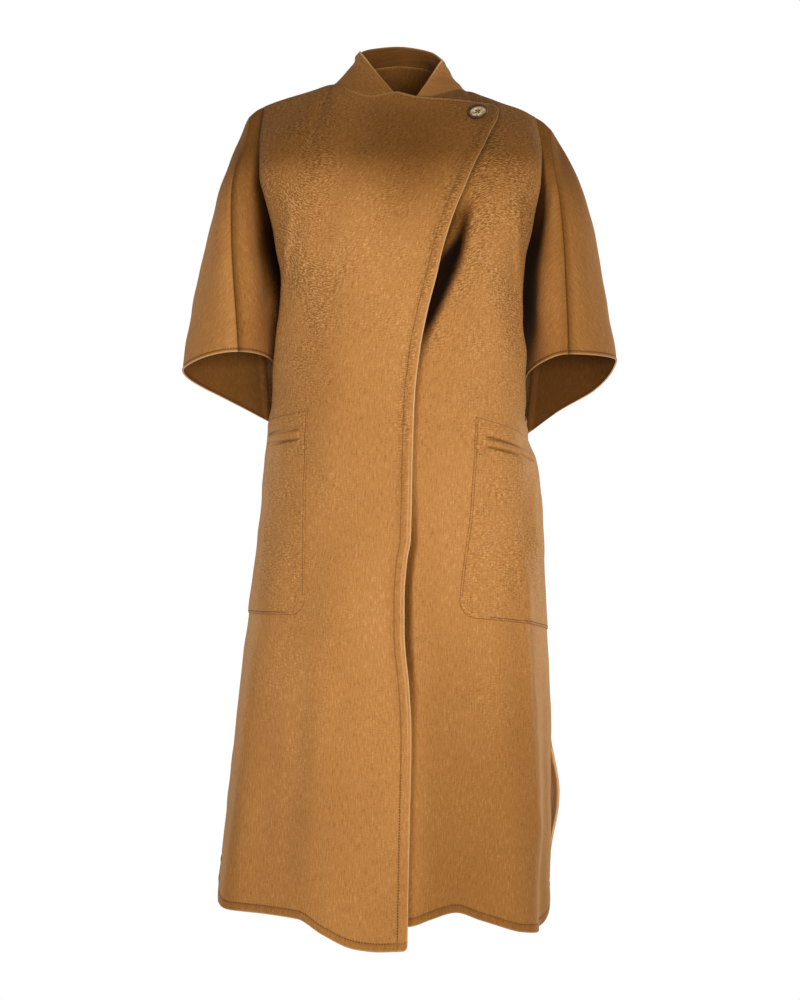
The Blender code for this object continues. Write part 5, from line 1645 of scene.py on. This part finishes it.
def make_wool():
    n = Nodes("camel wool")
    cloth = n.add("UVMap", {}, "UV", uv_map="cloth")
    nap = n.attribute("nap")
    # Waves bend the ripples, so that they run unevenly across the cloth.
    bend = n.vectors("SUBTRACT", n.noise(cloth, 42.0, output="Color"), (0.5, 0.5, 0.5))
    bent = n.vectors("ADD", cloth, n.vectors("MULTIPLY", bend, RIPPLE_BEND))
    ripple = n.ramp(n.noise(n.vectors("MULTIPLY", bent, RIPPLES), 1.0, 1.6, 0.45), 0.30, 0.70)
    patches = n.ramp(n.noise(cloth, 16.0), 0.36, 0.64)
    strength = n.maths("MULTIPLY", nap, n.maths("ADD", n.maths("MULTIPLY", patches, 0.6), 0.5))
    hair = n.noise(n.vectors("MULTIPLY", bent, HAIRS), 1.0, 3.0, 0.65)
    fuzz = n.noise(n.vectors("MULTIPLY", cloth, FUZZ), 1.0, 2.0, 0.65)
    broad = n.ramp(n.noise(n.vectors("MULTIPLY", cloth, BROAD), 1.0, 3.0), 0.3, 0.7)
    # Colour: ripples' hollows are darker, hairs catch the light, and the dye varies slowly.
    tone = n.maths("ADD", 0.5, n.maths("MULTIPLY", n.centred(ripple, strength), RIPPLE_TONE))
    tone = n.maths("ADD", tone, n.centred(hair, HAIR_TONE))
    tone = n.maths("ADD", tone, n.centred(fuzz, FUZZ_TONE))
    tone = n.maths("ADD", tone, n.centred(broad, BROAD_TONE), use_clamp=True)
    colour = n.mix(n.ramp(tone, 0.0, 0.5), CAMEL_DARK, CAMEL)
    colour = n.mix(n.ramp(tone, 0.5, 1.0), colour, CAMEL_LIGHT)
    # Painted highlight: the pale attribute mixes the colour towards a pale camel.
    colour = n.mix(n.maths("MULTIPLY", n.attribute("pale"), HIGHLIGHT_SHARE), colour, CAMEL_HIGHLIGHT)
    # The tone attribute carries painted light and shade; shade deepens the colour as it darkens it: green falls faster
    # than red, and blue most.
    shade = n.attribute("tone")
    deep = n.add("CombineXYZ", {axis: n.maths("POWER", shade, power)
                                for axis, power in zip("XYZ", SHADE_POWERS)})
    relief = n.bump(n.maths("MULTIPLY", ripple, strength), 0.0010, 0.8)
    relief = n.bump(hair, 0.0006, 0.6, Normal=relief)
    MATERIALS["wool"] = n.surface({
        "Base Color": n.mix(1.0, colour, deep, blend_type="MULTIPLY"),
        "Normal": n.bump(fuzz, 0.0003, 0.5, Normal=relief), "Roughness": 0.92,
        "Specular IOR Level": 0.08, "Sheen Weight": 0.10, "Sheen Roughness": 0.5,
        "Sheen Tint": (1.0, 0.66, 0.36, 1.0)})


def make_thread(key, dark, light):
    n = Nodes(key + " sewing")
    twist = n.noise(n.add("TexCoord", {}, "Object"), 2400.0)
    MATERIALS[key] = n.surface({"Base Color": n.mix(twist, dark, light), "Roughness": 0.75})


def make_horn():
    """Horn: a dark brown rim and a cream middle, marbled, by the distance from its axis."""
    n = Nodes("horn")
    place = n.add("TexCoord", {}, "Object")
    axes, low, high = button_frame()
    squares = []
    for way, middle, moved in zip(axes, (low + high) / 2, np.add(BUTTON_MOVED, CREAM_MOVED)):
        along = n.vectors("DOT_PRODUCT", place, tuple(way), "Value")
        away = n.maths("SUBTRACT", along, (middle + moved) * MM)
        squares.append(n.maths("MULTIPLY", away, away))
    radius = n.maths("SQRT", n.maths("ADD", *squares))
    marble = n.noise(place, 120.0, 3.0, 0.5, 2.2)
    radius = n.maths("ADD", radius, n.centred(marble, MARBLE))
    cream = n.mix(n.ramp(marble, 0.40, 0.60), *CREAM)
    dark = n.mix(n.ramp(marble, 0.4, 0.62), *DARK_HORN)
    MATERIALS["horn"] = n.surface({
        "Base Color": n.mix(n.ramp(radius, CREAM_END, HORN_START), cream, dark),
        "Roughness": 0.4, "Specular IOR Level": 0.3, "Coat Weight": 0.08, "Coat Roughness": 0.2})


# ---- surroundings -----------------------------------------------------------------------------

FLOOR_Z, FLOOR_RADIUS = -1.42, 1.25
AMBIENT = 0.34                      # the white surroundings' share in the light
CAMERA_DISTANCE, CAMERA_HEIGHT, PHOTO_HEIGHT_MM = 4.0, -0.527, 1.27


def make_surroundings():
    pale = Nodes("floor").surface({"Base Color": (0.86, 0.86, 0.85, 1.0), "Roughness": 0.8})
    bpy.ops.mesh.primitive_circle_add(vertices=96, radius=FLOOR_RADIUS, fill_type="NGON",
                                      location=(0.0, 0.1, FLOOR_Z))
    floor = bpy.context.object
    floor.name = "floor"
    floor.data.materials.append(pale)
    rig.stage(floor)
    world = bpy.context.scene.world = bpy.data.worlds.new("studio")
    world.use_nodes = True
    tree = world.node_tree
    background = tree.nodes["Background"]
    background.inputs["Color"].default_value = (1.0, 1.0, 1.0, 1.0)
    seen = tree.nodes.new("ShaderNodeLightPath").outputs["Is Camera Ray"]
    strength = tree.nodes.new("ShaderNodeMapRange")
    strength.inputs["To Min"].default_value = AMBIENT
    strength.inputs["To Max"].default_value = 1.0
    tree.links.new(seen, strength.inputs["Value"])
    tree.links.new(strength.outputs[0], background.inputs["Strength"])
    bpy.context.scene.view_settings.view_transform = "Standard"


def add_light(name, place, target, size, power):
    light = bpy.data.lights.new(name, "AREA")
    light.shape = "RECTANGLE"
    light.size, light.size_y = size
    light.energy = power
    thing = bpy.data.objects.new(name, light)
    thing.location = place
    x, y, z = np.subtract(target, place)
    thing.rotation_euler = (math.atan2(math.hypot(x, y), -z), 0.0, math.atan2(y, x) - math.pi / 2)
    bpy.context.scene.collection.objects.link(thing)


def add_camera():
    lens = bpy.data.cameras.new("camera")
    lens.sensor_fit = "VERTICAL"
    lens.sensor_height = 36.0
    lens.lens = 36.0 * CAMERA_DISTANCE / PHOTO_HEIGHT_MM
    camera = bpy.data.objects.new("camera", lens)
    camera.location = (0.0, -CAMERA_DISTANCE, CAMERA_HEIGHT)
    camera.rotation_euler = (math.pi / 2, 0.0, 0.0)
    bpy.context.scene.collection.objects.link(camera)
    bpy.context.scene.camera = camera


# ---- the whole --------------------------------------------------------------------------------

def main():
    make_wool()
    make_thread("thread", *DARK_THREAD)
    make_thread("tonal", *TONAL_THREAD)
    make_horn()
    fronts = {side: build_front(side) for side in (RIGHT, LEFT)}
    back = build_back()
    for panel in (*fronts.values(), back):
        panel.neck = panel.places[panel.body[:, 0]].copy()
    make_panel(fronts[RIGHT], "right_front", flat=(0.62, 1.10), area=0.34,
               rests_on=["left_front", "back"])
    make_panel(fronts[LEFT], "left_front", flat=(0.62, 1.10), area=0.35, rests_on=["back"])
    make_panel(back, "back", flat=(1.10, 1.12), area=0.62, rests_on=["right_front", "left_front"])
    for panel in (*fronts.values(), back):
        sew_panel(panel)
    make_collar(fronts[RIGHT], fronts[LEFT], back)
    make_pocket(RIGHT, flat=(0.145, 0.26))
    make_pocket(LEFT, flat=(0.175, 0.26))
    make_button()
    make_surroundings()
    add_light("front light", place=(0.45, -3.0, -0.40), target=(0.0, 0.0, -0.5), size=(1.3, 1.0),
              power=65.5)
    for side in (RIGHT, LEFT):
        add_light("back light", place=(side * 2.6, 2.8, 0.4), target=(0.0, 0.0, -0.6),
                  size=(1.6, 1.6), power=54.0)
    add_camera()


main()
json.dump({"start": CAD_BOX, "end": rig.bounds()}, open("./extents.json", "w"),
          default=lambda v: [list(c) for c in v] if hasattr(v[0], "__len__") else list(v))
